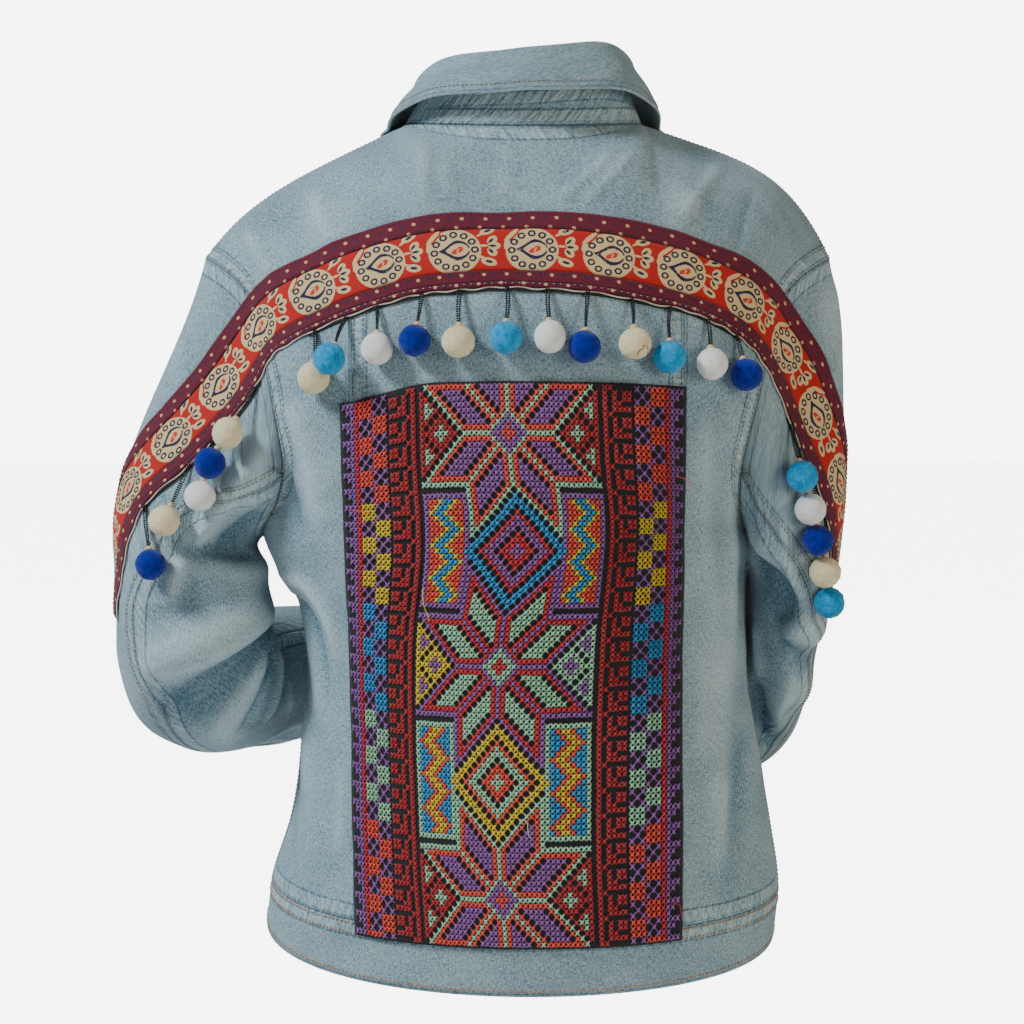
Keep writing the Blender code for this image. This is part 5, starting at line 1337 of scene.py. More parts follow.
def turned_button(node):
    """The profile turned about the middle of the plain button that it replaces."""
    low, high = (np.array(corner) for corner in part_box(node))
    plain = bpy.data.objects[node]
    spots = np.array([vertex.co[:] for vertex in plain.data.vertices])
    middle = (low + high) / 2
    off = spots - spots.mean(axis=0)
    axis = np.linalg.svd(off, full_matrices=False)[2][2]
    outward = axis if np.dot(axis, middle - np.array([0.0, 0.06, middle[2]])) > 0 else -axis
    if node.startswith("cuff"):
        side = node.split("_")[-1]
        arm = ARM[side][-1]
        centre = np.array([SIDES[side] * arm.x, arm.y, arm.z])
        outward = axis if np.dot(axis, middle - centre) > 0 else -axis
    depth = float(np.ptp(off @ axis))
    form = bmesh.new()
    spokes = 40
    rings = []
    for radius, rise in BUTTON_PROFILE:
        if radius == 0:
            rings.append([form.verts.new((0, 0, rise))])
            continue
        rings.append([form.verts.new((radius * math.cos(t), radius * math.sin(t), rise))
                      for t in (2 * math.pi * k / spokes for k in range(spokes))])
    rings.append([form.verts.new((0, 0, 0))])
    for first, second in zip(rings[:-1], rings[1:]):
        for k in range(spokes):
            turned = ((first, k), (second, k), (second, k + 1), (first, k + 1))
            corners = [ring[n % len(ring)] for ring, n in turned]
            form.faces.new(list(dict.fromkeys(corners)))
    bmesh.ops.recalc_face_normals(form, faces=form.faces[:])
    turn = Vector(outward).to_track_quat("Z", "Y").to_matrix().to_4x4()
    bmesh.ops.transform(form, matrix=turn, verts=form.verts[:])
    bmesh.ops.translate(form, vec=Vector(middle - outward * depth / 2), verts=form.verts[:])
    mesh = bpy.data.meshes.new(node + "_brass")
    form.to_mesh(mesh)
    form.free()
    mesh.shade_smooth()
    mesh.set_sharp_from_angle(angle=math.radians(50))
    mesh.materials.append(BRASS)
    belongs(add_object(node + "_brass", mesh), "antique_brass", node)


for node in [f"button_{k}" for k in range(1, 7)] + ["cuff_button_left", "cuff_button_right"]:
    turned_button(node)

# Embroidered panel
# A black cotton panel over the middle of the back, worked all over in cross-stitch: eight-petalled
# stars and diamonds down the middle, and bands of keys, checks and steps at both sides.
PANEL_TOP_Z = -0.172
PANEL_BOTTOM_Z = -0.5605
PANEL_LEFT_TOP_X = -0.1200
PANEL_LEFT_LOW_X = -0.1120
PANEL_RIGHT_X = 0.1130
PANEL_DROOP = 0.055
PANEL_CLOTH = 0.0012
PANEL_LEAN = 0.020
MIDDLE_ROWS = 101
KEY_ROWS = 111
SIDE_ROWS = 91
STAR_ROWS = (8, 50, 92)
DIAMOND_ROWS = (29, 71)
COTTONS = {
    "purple": tint(158, 92, 176),
    "coral": tint(255, 76, 52),
    "mint": tint(170, 226, 186),
    "dark red": tint(196, 8, 24),
    "red": tint(226, 24, 36),
    "yellow": tint(248, 214, 20),
    "blue": tint(20, 160, 226),
}
Star = namedtuple("Star", "fill line rim left right mark")
STARS = (Star("purple", "coral", "mint", "dark red", "dark red", "mint"),
         Star("mint", "red", "purple", "yellow", "mint", "purple"),
         Star("purple", "coral", "mint", "dark red", "dark red", "mint"))
Diamond = namedtuple("Diamond", "outline ring light dark ground edge zigzag frame")
DIAMONDS = (Diamond("blue", "red", "purple", "red", "coral", "yellow", "blue", "purple"),
            Diamond("yellow", "coral", "mint", "coral", "blue", "coral", "yellow", "mint"))
ZIGZAG = (0, 1, 2, 1, 0, -1)
CHECK_COTTONS = ("coral", "yellow", "blue", "mint", "coral")
STEPS = ("###", "##.", "#..")
KEYS = ("....##", "##.#.#", "##.#.#", "..##.#", "####.#")


def star_cotton(x, y, star):
    """Eight petals about a small centre, and a triangle at each side."""
    x_size, y_size = abs(x), abs(y)
    far, near = max(x_size, y_size), min(x_size, y_size)
    slant = far - near
    if far + near <= 4:
        if far + near <= 1:
            return star.line
        return star.fill if far + near <= 3 else star.rim
    if near <= 1 and far <= 9:
        return star.rim if near == 0 else star.line
    if near <= 9 and slant <= 9 and far >= 3:
        if slant == 9 or near == 9 or slant == 0:
            return star.rim
        if slant in (1, 8) or near == 8:
            return star.line
        return None if slant in (2, 7) else star.fill
    if x_size < y_size or slant <= 10 or y_size > 8:
        return None
    if x_size + y_size == 18 and y_size > 0:
        return None
    if abs(x_size - 14) + y_size <= 1 or (x_size == 17 and 3 <= y_size <= 5) or (x_size, y_size) == (16, 4):
        return star.mark
    return star.left if x < 0 else star.right


def diamond_cotton(x, y, diamond):
    """A diamond of rings, and a box with a zigzag at each side of it."""
    away = abs(x) + abs(y)
    if away <= 10:
        rings = ("light", "light", "dark", "dark", None, "light", "light", "ring", None, "outline", "outline")
        return getattr(diamond, rings[away]) if rings[away] else None
    if abs(x) < 10 or abs(y) > 10:
        return None
    if abs(x) in (10, 18) or abs(y) == 10:
        return diamond.frame
    off = abs(x) - 12 - ZIGZAG[(y + 9) % 6]
    if off in (1, 2):
        return diamond.zigzag
    return diamond.edge if off in (0, 3) else diamond.ground


def middle_cotton(column, row):
    x = column - 18
    for middle, star in zip(STAR_ROWS, STARS):
        found = star_cotton(x, row - middle, star)
        if found and abs(row - middle) <= 18:
            return found
    for middle, diamond in zip(DIAMOND_ROWS, DIAMONDS):
        found = diamond_cotton(x, row - middle, diamond) if abs(row - middle) <= 10 else None
        if found:
            return found
    return None


def step_cotton(column, row):
    return "purple" if STEPS[row % 3][2 - column] == "#" else None


def line_cotton(column, row):
    return "red"


def check_cotton(column, row):
    """Filled blocks of three by three crosses beside blocks with a cross of five."""
    if (row // 3 + column // 3) % 2 == 0:
        return CHECK_COTTONS[min(row // 18, 4)]
    return "purple" if column % 3 in (row % 3, 2 - row % 3) else None


def key_cotton(column, row):
    return "dark red" if KEYS[row % 5][column] == "#" else None


# Where each band starts, as a share of the way from the panel's side to its middle line
Band = namedtuple("Band", "start pitch columns rows cotton")
SIDE_BANDS = (
    Band(0.0195, 0.0287, 3, SIDE_ROWS, step_cotton),
    Band(0.1054, 0.0290, 1, SIDE_ROWS, line_cotton),
    Band(0.1344, 0.0301, 6, SIDE_ROWS, check_cotton),
    Band(0.3314, 0.0264, 6, KEY_ROWS, key_cotton),
)
MIDDLE_BAND = Band(0.5161, 0.02616, 37, MIDDLE_ROWS, middle_cotton)


def black_cotton():
    made, tree, sockets = new_material("black_cotton", Roughness=0.92, Sheen_Weight=0.1)
    pattern = pattern_of(tree)
    weave = use_group(tree, WEAVE, Pattern=pattern, Rib=0.0008, Lean=0.0)
    feed(tree, sockets["Base Color"], blend_colours(tree, weave["Shade"], tint(10, 8, 12), tint(34, 30, 36)))
    bump(tree, sockets, times(tree, weave["Height"], 0.00015))
    return made


def cotton_floss():
    made, tree, sockets = new_material("cotton_floss", Roughness=0.55, Sheen_Weight=0.15)
    spots = object_spots(tree)
    shade = ramp(tree, noise(tree, spots, 900, 2.0), 0.30, 0.75)
    darker = blend_colours(tree, shade, (0.76, 0.76, 0.76, 1), (1.0, 1.0, 1.0, 1))
    colour = blend_colours(tree, 1.0, attribute(tree, "cotton", "Color"), darker, "MULTIPLY")
    feed(tree, sockets["Base Color"], colour)
    bump(tree, sockets, noise(tree, spots, 3000, 1.0), 0.0001)
    return made


def panel_place(share, high):
    """Columns between the panel's own side lines; its left corner droops a little."""
    heights = PANEL_BOTTOM_Z + (PANEL_TOP_Z - PANEL_BOTTOM_Z) * high
    ups = np.linspace(0, 2, 401)
    up = np.interp(heights, from_table(MIDDLE["back"], "z", ups), ups)
    up = up - PANEL_DROOP * ease((0.30 - share) / 0.30) * ease((high - 0.6) / 0.4)
    left = across_at("back", PANEL_LEFT_LOW_X + (PANEL_LEFT_TOP_X - PANEL_LEFT_LOW_X) * high, up)
    return left + (across_at("back", PANEL_RIGHT_X, up) - left) * share, up


share, high = np.meshgrid(np.linspace(0, 1, 66), np.linspace(0, 1, 110))
across, up = panel_place(share, high)
points, like, height = body("back", across, up)
waviness = 0.0005 * np.sin(9 * share + 9 * high) * np.sin(math.pi * share)
points = points + like * (LAY_GAP * 2 + PANEL_CLOTH + 0.0004 + waviness)[..., None]
panel = cloth_shell("embroidered_panel_ground", points, like, PANEL_CLOTH, (), None, black_cotton())
belongs(panel, "black_ground", "embroidered_panel")


def on_panel(column_share, row_share):
    """Places on the panel's face, with the directions across, down and out."""
    outer, normals = CLOTHS[panel.name][:2]
    rows, columns = outer.shape[:2]
    i = np.clip(column_share * (columns - 1), 0, columns - 1.001)
    j = np.clip((1 - row_share) * (rows - 1), 0, rows - 1.001)
    i0, j0 = i.astype(int), j.astype(int)
    u, v = (i - i0)[:, None], (j - j0)[:, None]

    def pick(field):
        low = field[j0, i0] * (1 - u) + field[j0, i0 + 1] * u
        high = field[j0 + 1, i0] * (1 - u) + field[j0 + 1, i0 + 1] * u
        return low * (1 - v) + high * v
    across = pick(np.gradient(outer, axis=1)) * (columns - 1)
    down = -pick(np.gradient(outer, axis=0)) * (rows - 1)
    return pick(outer), across, down, unit(pick(normals))


def stitched_cells():
    """Every cross: its place as shares of the panel's width and height, its size and its thread."""
    cells = []
    for column in range(MIDDLE_BAND.columns):
        place = (MIDDLE_BAND.start + MIDDLE_BAND.pitch * (column + 0.5)) / 2
        for row in range(MIDDLE_BAND.rows):
            cells.append((place, MIDDLE_BAND.pitch / 2, row, MIDDLE_BAND.rows, middle_cotton(column, row)))
    for band in SIDE_BANDS:
        for column in range(band.columns):
            place = (band.start + band.pitch * (column + 0.5)) / 2
            for row in range(band.rows):
                cotton = band.cotton(column, row)
                cells.append((place, band.pitch / 2, row, band.rows, cotton))
                cells.append((1 - place, band.pitch / 2, row, band.rows, cotton))
    return [cell for cell in cells if cell[4]]


def closed_object(name, verts, faces, finish):
    """Closed forms in one mesh, with all their faces turned outwards."""
    mesh = bpy.data.meshes.new(name)
    mesh.from_pydata(verts, [], faces)
    form = bmesh.new()
    form.from_mesh(mesh)
    bmesh.ops.recalc_face_normals(form, faces=form.faces[:])
    form.to_mesh(mesh)
    form.free()
    mesh.shade_smooth()
    mesh.materials.append(finish)
    return add_object(name, mesh)


def cross_stitches():
    """Two strands to each cross, the second over the first, each a low closed bar."""
    cells = stitched_cells()
    place, wide, row, rows = (np.array([cell[k] for cell in cells], float) for k in range(4))
    stray = 0.05 * np.sin(1290 * place + 78.2 * row)
    drift = 0.05 * np.sin(3930 * place + 11.1 * row + 1.0)
    turned = place - PANEL_LEAN * np.sin(math.pi * place) + stray * wide
    middle, across, down, out = on_panel(turned, 0.004 + 0.992 * (row + 0.5 + drift) / rows)
    half_across, half_down = across * wide[:, None] / 2, down * (0.5 / rows)[:, None]
    colours = np.array([COTTONS[cell[4]] for cell in cells])
    verts, tones_with_end_shade = [], []
    for sign, low, high in ((1, 0.0000, 0.0008), (-1, 0.0003, 0.0013)):
        reach = (half_across * sign + half_down) * 0.96
        aside = unit(np.cross(out, reach)) * 0.00062
        for station, rise in ((-1, low), (0, high), (1, low)):
            line = middle + reach * station + out * rise
            verts += [line - aside, line + aside, line + out * 0.00055]
            # Both ends of each strand, where it dips into the cloth, get 0.86 of the thread's colour: painted
            # shade.
            tones_with_end_shade += [colours * (0.86 if station else 1.0)] * 3
    verts = np.stack(verts, axis=1)
    tones_with_end_shade = np.stack(tones_with_end_shade, axis=1)
    tones_with_end_shade[..., 3] = 1.0
    bar = []
    for step in (0, 3):
        for k in range(3):
            a, b = step + k, step + (k + 1) % 3
            bar += [(a, b, b + 3), (a, b + 3, a + 3)]
    bar += [(2, 1, 0), (6, 7, 8)]
    bars = np.array(bar + [tuple(9 + corner for corner in face) for face in bar])
    faces = (bars[None] + (np.arange(len(cells)) * 18)[:, None, None]).reshape(-1, 3)
    made = closed_object("cross_stitches", verts.reshape(-1, 3), faces, cotton_floss())
    made.data.attributes.new("cotton", "FLOAT_COLOR", "POINT").data.foreach_set("color", tones_with_end_shade.ravel())
    return made


crosses = belongs(cross_stitches(), "black_ground")


def tube(name, points, radius, finish, sides=5):
    """A closed round thread or cord along points."""
    points = np.asarray(points, float)
    tangent = unit(np.gradient(points, axis=0))
    side = unit(np.cross(tangent, np.array([0.13, 0.97, 0.21])))
    over = np.cross(tangent, side)
    turns = 2 * math.pi * np.arange(sides) / sides
    around = side[:, None] * np.cos(turns)[:, None] + over[:, None] * np.sin(turns)[:, None]
    rings = points[:, None] + radius * around
    count = len(points)
    last = (count - 1) * sides
    verts = np.concatenate([rings.reshape(-1, 3), points[:1], points[-1:]])
    faces = []
    for n in range(sides):
        m = (n + 1) % sides
        faces += [(k + n, k + m, k + sides + m, k + sides + n) for k in range(0, last, sides)]
        faces += [(count * sides, m, n), (count * sides + 1, last + n, last + m)]
    return closed_object(name, verts, faces, finish)


# Loose threads on the panel
# A few ends of thread that stand off the embroidery where they were cut.
Loose = namedtuple("Loose", "across down reach_across reach_down rise colour")
LOOSE = (
    Loose(0.965, 0.155, 0.055, 0.014, 0.0045, "coral"),
    Loose(0.275, 0.420, -0.020, -0.060, 0.0030, "yellow"),
    Loose(0.028, 0.210, 0.070, 0.006, 0.0030, "coral"),
    Loose(0.540, 0.770, 0.035, 0.032, 0.0025, "mint"),
    Loose(0.960, 0.930, 0.040, 0.028, 0.0035, "dark red"),
)
for number, loose in enumerate(LOOSE, 1):
    way = np.linspace(0, 1, 14)
    column = loose.across + loose.reach_across * way + 0.007 * np.sin(5 * way)
    row = loose.down + loose.reach_down * way**2
    place, across, down, out = on_panel(np.clip(column, 0, 1), np.clip(row, 0, 1))
    past = np.clip(column - 1, 0, None)[:, None] * across
    line = place + past + out * (0.0012 + loose.rise * np.sin(math.pi * way * 0.8))[:, None]
    finish = thread(f"loose_cotton_{number}", COTTONS[loose.colour], COTTONS[loose.colour])
    belongs(tube(f"loose_thread_{number}", line, 0.00024, finish, 4), "black_ground")

# Braid across the back and sleeves
# A band of red block-printed cotton between two folded borders of dotted maroon cotton,
# stitched flat over the yoke seam from one sleeve to the other.
Stop = namedtuple("Stop", "x y z")
BRAID_LINE = (
    Stop(-0.289, -0.006, -0.3390),
    Stop(-0.287, -0.018, -0.2960),
    Stop(-0.276, -0.028, -0.2530),
    Stop(-0.243, -0.045, -0.2140),
    Stop(-0.213, -0.055, -0.1790),
    Stop(-0.179, -0.062, -0.1350),
    Stop(-0.146, -0.085, -0.1135),
    Stop(-0.086, -0.108, -0.0885),
    Stop(-0.005, -0.112, -0.0820),
    Stop(0.058, -0.110, -0.0855),
    Stop(0.116, -0.098, -0.0975),
    Stop(0.148, -0.082, -0.1110),
    Stop(0.174, -0.066, -0.1300),
    Stop(0.195, -0.050, -0.1640),
    Stop(0.213, -0.045, -0.2060),
    Stop(0.229, -0.030, -0.2560),
    Stop(0.231, -0.016, -0.3160),
)
BRAID_WIDTH = 0.053
BRAID_CLOTH = 0.0012
BRAID_LAY = 0.0005
BORDER_TOP_SHARE = 0.235
BORDER_LOW_SHARE = 0.785
PRINT_PITCH = 0.0520
DOT_PITCH = 0.0155
PRINT_MIDDLE_X = 0.0095
BRAID_COUNT = 300
cloth_tree = tree_of(BODY_CLOTHS[:8] + SLEEVE_CLOTHS)


def braid_middle(count):
    spots = np.array([(stop.x, stop.y, stop.z) for stop in BRAID_LINE])
    keys = travelled_along(spots)
    fine = np.linspace(0, keys[-1], 900)
    line = np.stack([smooth(keys, spots[:, k], fine) for k in range(3)], axis=-1)
    run = travelled_along(line)
    return read_off(np.linspace(0, run[-1], count + 1), run, line)


def march(start, direction, distance, steps):
    """Walk over the cloth from start; returns the points passed."""
    place, normal = snap(cloth_tree, start)
    passed = [place]
    for _ in range(steps):
        direction = unit(direction - normal * np.dot(direction, normal))
        place, normal = snap(cloth_tree, place + direction * distance / steps)
        passed.append(place)
    return passed


def relaxed(points, rounds):
    for _ in range(rounds):
        points[1:-1] = 0.5 * points[1:-1] + 0.25 * (points[:-2] + points[2:])
    return points


middle = braid_middle(BRAID_COUNT)
tangent = unit(np.gradient(relaxed(middle.copy(), 12), axis=0))
rows = []
for k in range(BRAID_COUNT + 1):
    place, normal = snap(cloth_tree, middle[k])
    down = unit(np.cross(tangent[k], normal))
    upper = march(middle[k], -down, BRAID_WIDTH / 2, 9)
    lower = march(middle[k], down, BRAID_WIDTH / 2, 9)
    rows.append(np.array(upper[::-1] + lower[1:]))
braid_rows = relaxed(np.array(rows), 30)
travel = travelled_along(braid_rows[:, 9])
BRAID_CUTS = np.concatenate([np.linspace(0, BORDER_TOP_SHARE, 6),
                             np.linspace(BORDER_TOP_SHARE, BORDER_LOW_SHARE, 12)[1:],
                             np.linspace(BORDER_LOW_SHARE, 1, 6)[1:]])
wobble = 0.0006 * np.sin(travel * 95 + 1) + 0.0005 * np.sin(travel * 41)
stations = np.arange(19)
cuts = np.clip(BRAID_CUTS + (wobble / BRAID_WIDTH)[:, None] * (2 * BRAID_CUTS - 1)**3, 0, 1)
edge_wave = np.interp(cuts, np.linspace(0, 1, 19), stations)
braid_points = np.array([read_off(places, stations, row) for places, row in zip(edge_wave, braid_rows)])
hint = np.array([[snap(cloth_tree, p)[1] for p in row] for row in braid_points])
braid_like = grid_normals(braid_points, hint)
braid_points = rest_clear(braid_points + braid_like * BRAID_LAY, braid_like, cloth_tree, BRAID_LAY, 6)
ripple = 0.0003 * np.sin(travel * 160)[:, None] * (2 * BRAID_CUTS - 1)**2
braid_outer = braid_points + braid_like * (BRAID_CLOTH + ripple)[..., None]
braid_pattern = np.stack(np.broadcast_arrays(travel[:, None], BRAID_CUTS * BRAID_WIDTH), axis=-1)
print_start = float(np.interp(PRINT_MIDDLE_X, braid_rows[:, 9, 0], travel))


def blob(tree, spot, x, y, wide, high, angle=0.0, soft=0.06):
    """1 inside an oval about (x, y), in millimetres."""
    inputs = {"Vector": spot, "Location": (x, y, 0), "Rotation": (0, 0, math.radians(angle)),
              "Scale": (wide, high, 1)}
    put = place_node(tree, "ShaderNodeMapping", inputs, vector_type="TEXTURE")
    size = place_node(tree, "ShaderNodeVectorMath", {"Vector": put.outputs["Vector"]}, operation="LENGTH")
    return ramp(tree, size.outputs["Value"], 1 + soft, 1 - soft)


def most(tree, *masks):
    total = masks[0]
    for mask in masks[1:]:
        total = maths("MAXIMUM", tree, total, mask)
    return total


def repeated(tree, along, pitch, shift):
    """Distance from the middle of the nearest repeat; shift moves the middle within its room."""
    turns = plus(tree, maths("DIVIDE", tree, along, pitch), shift)
    return times(tree, minus(tree, maths("FRACT", tree, turns), shift), pitch)


def printed_places(tree, rough):
    """Length along the braid and distance across it in millimetres, with the print's rough edges."""
    pattern = pattern_of(tree)
    axes = place_node(tree, "ShaderNodeSeparateXYZ", {"Vector": pattern})
    stray = times(tree, minus(tree, noise(tree, pattern, 900, 2.0), 0.5), rough)
    other = times(tree, minus(tree, noise(tree, stretched(tree, pattern, 1, -1), 800, 2.0), 0.5), rough)
    along = times(tree, minus(tree, axes.outputs["X"], print_start), 1000.0)
    return pattern, plus(tree, along, stray), times_plus(tree, axes.outputs["Y"], 1000.0, other)


def red_print():
    """Round cream seed heads with a ring of navy circles, a pointed eye, a curl and three buds."""
    made, tree, sockets = new_material("red_print_cotton", Roughness=0.9, Sheen_Weight=0.08)
    pattern, along, across = printed_places(tree, 0.7)
    x = repeated(tree, along, PRINT_PITCH * 1000, 0.365)
    y = minus(tree, across, 27.3)
    spot = flat_spot(tree, x, y)
    cream = most(
        tree,
        minus(tree, blob(tree, spot, 0, 0.4, 17.8, 15.4, 0, 0.02),
              blob(tree, spot, -12.4, -9.2, 0.85, 5.0, 46), clamp=True),
        blob(tree, spot, -14.0, -10.4, 1.5, 6.2, 46), blob(tree, spot, -17.2, -4.4, 1.5, 4.0, 14),
        blob(tree, spot, 17.6, -11.0, 3.0, 0.8, -28), blob(tree, spot, 22.0, -13.4, 5.2, 2.5, -18),
        blob(tree, spot, 19.6, -3.0, 3.0, 0.8, 0), blob(tree, spot, 25.2, -6.8, 3.7, 2.8, -38),
        blob(tree, spot, 26.8, -2.8, 4.0, 2.6, 0), blob(tree, spot, 25.2, 1.2, 3.7, 2.8, 38),
        blob(tree, spot, 18.4, 5.0, 3.2, 0.8, 24), blob(tree, spot, 23.0, 8.0, 5.4, 2.7, 14))
    angle = maths("ARCTAN2", tree, maths("DIVIDE", tree, y, 0.83), x)
    sector = 2 * math.pi / 12
    turns = maths("DIVIDE", tree, plus(tree, angle, 7.1), sector)
    turned = times(tree, minus(tree, maths("FRACT", tree, turns), 0.5), sector)
    reach = maths("SQRT", tree, plus(tree, maths("POWER", tree, maths("DIVIDE", tree, y, 0.83), 2.0),
                                      maths("POWER", tree, x, 2.0)))
    ring_x = minus(tree, times(tree, reach, maths("COSINE", tree, turned)), 13.7)
    ring_spot = flat_spot(tree, ring_x, times(tree, reach, maths("SINE", tree, turned)))
    circles = minus(tree, blob(tree, ring_spot, 0, 0, 2.75, 2.75, 0, 0.08),
                    blob(tree, ring_spot, 0, 0, 1.30, 1.30, 0, 0.14))
    taper = times_plus(tree, ramp(tree, x, -10.5, 3.0), 0.75, 0.25)
    eye_spot = flat_spot(tree, x, maths("DIVIDE", tree, plus(tree, y, 0.4), taper))
    eye = minus(tree, blob(tree, eye_spot, 0.0, 0, 10.6, 7.2),
                blob(tree, eye_spot, 1.9, -0.2, 7.7, 4.6), clamp=True)
    eye = minus(tree, eye, blob(tree, spot, 9.6, -0.6, 2.2, 0.9, 10), clamp=True)
    heart = most(tree, blob(tree, spot, 0.6, 0.4, 3.0, 1.6, -24), blob(tree, spot, 3.4, -0.8, 2.6, 1.9, -30))
    split = blob(tree, spot, 2.2, -0.2, 0.5, 1.7, 24)
    seeds = most(
        tree,
        blob(tree, spot, 22.0, -13.4, 2.4, 0.9, -18, 0.15), blob(tree, spot, 24.4, -6.4, 2.2, 0.9, -42, 0.15),
        blob(tree, spot, 25.6, -2.8, 2.4, 0.9, 0, 0.15), blob(tree, spot, 24.4, 0.8, 2.2, 0.9, 42, 0.15),
        blob(tree, spot, 23.2, 8.0, 2.6, 1.0, 14, 0.15))
    navy = maths("MAXIMUM", tree, most(tree, circles, eye, seeds), 0.0, clamp=True)
    weave = use_group(tree, WEAVE, Pattern=pattern, Rib=0.0007, Lean=0.0)
    wornness = ramp(tree, noise(tree, pattern, 380, 3.0), 0.62, 0.72)
    navy = times(tree, navy, times_plus(tree, wornness, -0.45, 1.0))
    red = blend_colours(tree, weave["Shade"], tint(146, 12, 8), tint(198, 26, 20))
    pale = blend_colours(tree, weave["Shade"], tint(190, 156, 104), tint(228, 198, 146))
    colour = blend_colours(tree, cream, red, pale)
    colour = blend_colours(tree, navy, colour, tint(24, 22, 62))
    inner_red = times(tree, heart, minus(tree, 1.0, split), clamp=True)
    colour = blend_colours(tree, inner_red, colour, tint(206, 50, 36))
    feed(tree, sockets["Base Color"], colour)
    bump(tree, sockets, times(tree, weave["Height"], 0.00014))
    return made


def maroon_print():
    """Staggered rows of small cream and navy dots; the cloth is folded under at its edges, with painted shade
    along a fold in the lower border and at the inner edges of both borders.
    """
    made, tree, sockets = new_material("maroon_dotted_cotton", Roughness=0.88, Sheen_Weight=0.12)
    pattern, along, across = printed_places(tree, 0.5)
    rows = []
    for level, start in ((5.0, 0.0), (11.2, 0.25), (44.2, 0.1), (50.6, 0.35)):
        for tone, shift in (("cream", 0.0), ("navy", 0.5)):
            x = repeated(tree, plus(tree, along, (start + shift) * DOT_PITCH * 1000), DOT_PITCH * 1000, 0.5)
            y = minus(tree, across, level)
            rows.append((tone, blob(tree, flat_spot(tree, x, y), 0, 0, 1.35, 1.1, 12, 0.15)))
    cream = most(tree, *[mask for tone, mask in rows if tone == "cream"])
    navy = most(tree, *[mask for tone, mask in rows if tone == "navy"])
    weave = use_group(tree, WEAVE, Pattern=pattern, Rib=0.0007, Lean=0.0)
    maroon = blend_colours(tree, weave["Shade"], tint(62, 2, 22), tint(112, 6, 44))
    # Painted shade: a darker line along the fold in the lower border, and at the inner edge of each border
    # beside the print.
    line = maths("ABSOLUTE", tree, minus(tree, across, 49.2))
    fold = ramp(tree, line, 0.7, 0.1)
    low_edge = ramp(tree, across, 11.6, 12.4)
    high_edge = ramp(tree, across, 42.4, 41.6)
    dark = maths("MAXIMUM", tree, fold, times(tree, low_edge, high_edge), clamp=True)
    colour = blend_colours(tree, cream, maroon, tint(206, 160, 122))
    colour = blend_colours(tree, navy, colour, tint(46, 28, 62))
    colour = blend_colours(tree, times(tree, dark, 0.55), colour, tint(40, 6, 18))
    feed(tree, sockets["Base Color"], colour)
    height = times_plus(tree, fold, -0.0006, times(tree, weave["Height"], 0.00014))
    bump(tree, sockets, times_plus(tree, noise(tree, pattern, 160, 2.0), 0.0006, height))
    return made


MAROON = maroon_print()
STRIPS = (("braid_border_upper", 0, 5, MAROON, "maroon_cotton", 0.0004, (0.74, 0.014)),
          ("braid_print", 5, 16, red_print(), "red_print_cotton", 0.0, (0.74, 0.031)),
          ("braid_border_lower", 16, 21, MAROON, "maroon_cotton", 0.0004, (0.74, 0.013)))
for node, first, last, finish, slot, rise, cut in STRIPS:
    sides = [side for side, at in (("start", first), ("end", last)) if at not in (0, 21)]
    strip, like, pattern = (rows[:, first:last + 1] for rows in (braid_outer, braid_like, braid_pattern))
    made = cloth_shell(node + "_cloth", pull_in(strip + like * rise, sides), like, BRAID_CLOTH, (), None,
                       finish, pattern)
    belongs(made, slot, node)

# Running stitches and cord of the braid
# White running stitches along the lower border, a thin cream cord that waves along its edge,
# and maroon stitches that hold the upper edge.
white_thread = thread("white_thread", tint(196, 190, 184), tint(236, 232, 226))
maroon_thread = thread("maroon_thread", tint(70, 10, 30), tint(120, 24, 56))
running_line = tuple(rows[60:235] for rows in row_beside("braid_border_lower", "start", 0.0086))
upper_lines = [row_beside("braid_border_upper", "start", 0.0016),
               row_beside("braid_border_upper", "end", 0.0010),
               row_beside("braid_border_lower", "start", 0.0010)]
for name, lines, finish, spacing, length, width in (
        ("braid_running_stitches", [running_line], white_thread, 0.0046, 0.0015, 0.00045),
        ("braid_edge_stitches", upper_lines, maroon_thread, 0.0038, 0.0026, 0.00045)):
    grain_rows(name, lines, finish, "maroon_cotton", Spacing=spacing, Length=length, Width=width)

edge_points = braid_outer[:, -1]
edge_out = braid_like[:, -1]
edge_along = unit(np.gradient(edge_points, axis=0))
edge_down = unit(np.cross(edge_along, edge_out))
sway = (0.0006 * np.sin(travel * 260 + 2 * np.sin(travel * 31)))[:, None]
cord_line = edge_points + edge_down * (0.0008 + sway) - edge_out * 0.0004
cream_cord = thread("cream_cord", tint(188, 176, 152), tint(228, 220, 202))
belongs(tube("cream_edge_cord", cord_line, 0.00055, cream_cord, 5), "maroon_cotton")

# Bead strings on their tape
# A narrow black tape under the braid's lower edge carries the strings: two rows of small black
# glass beads twisted together, with one pale wooden bead above each ball.
# Where each string leaves the braid's lower edge: x on the back, z on the sleeves
ROOTS = {
    "left": (-0.1786, -0.1987, -0.2157, -0.2326, -0.2622),
    "back": (-0.1386, -0.1162, -0.0953, -0.0649, -0.0387, -0.0073,
             0.0200, 0.0468, 0.0763, 0.1027, 0.1290, 0.1500),
    "right": (-0.2053, -0.2216, -0.2434, -0.2657, -0.2868),
}
BALL_RADIUS = 0.0110
BEAD_SPACING = 0.00160
BEAD_LONG = 0.00155
BEAD_WIDE = 0.00190
TAPE_WIDTH = 0.0026
TAPE_PAST = 0.006
TAPE_STEP = 0.003
STRAND_APART = 0.00092


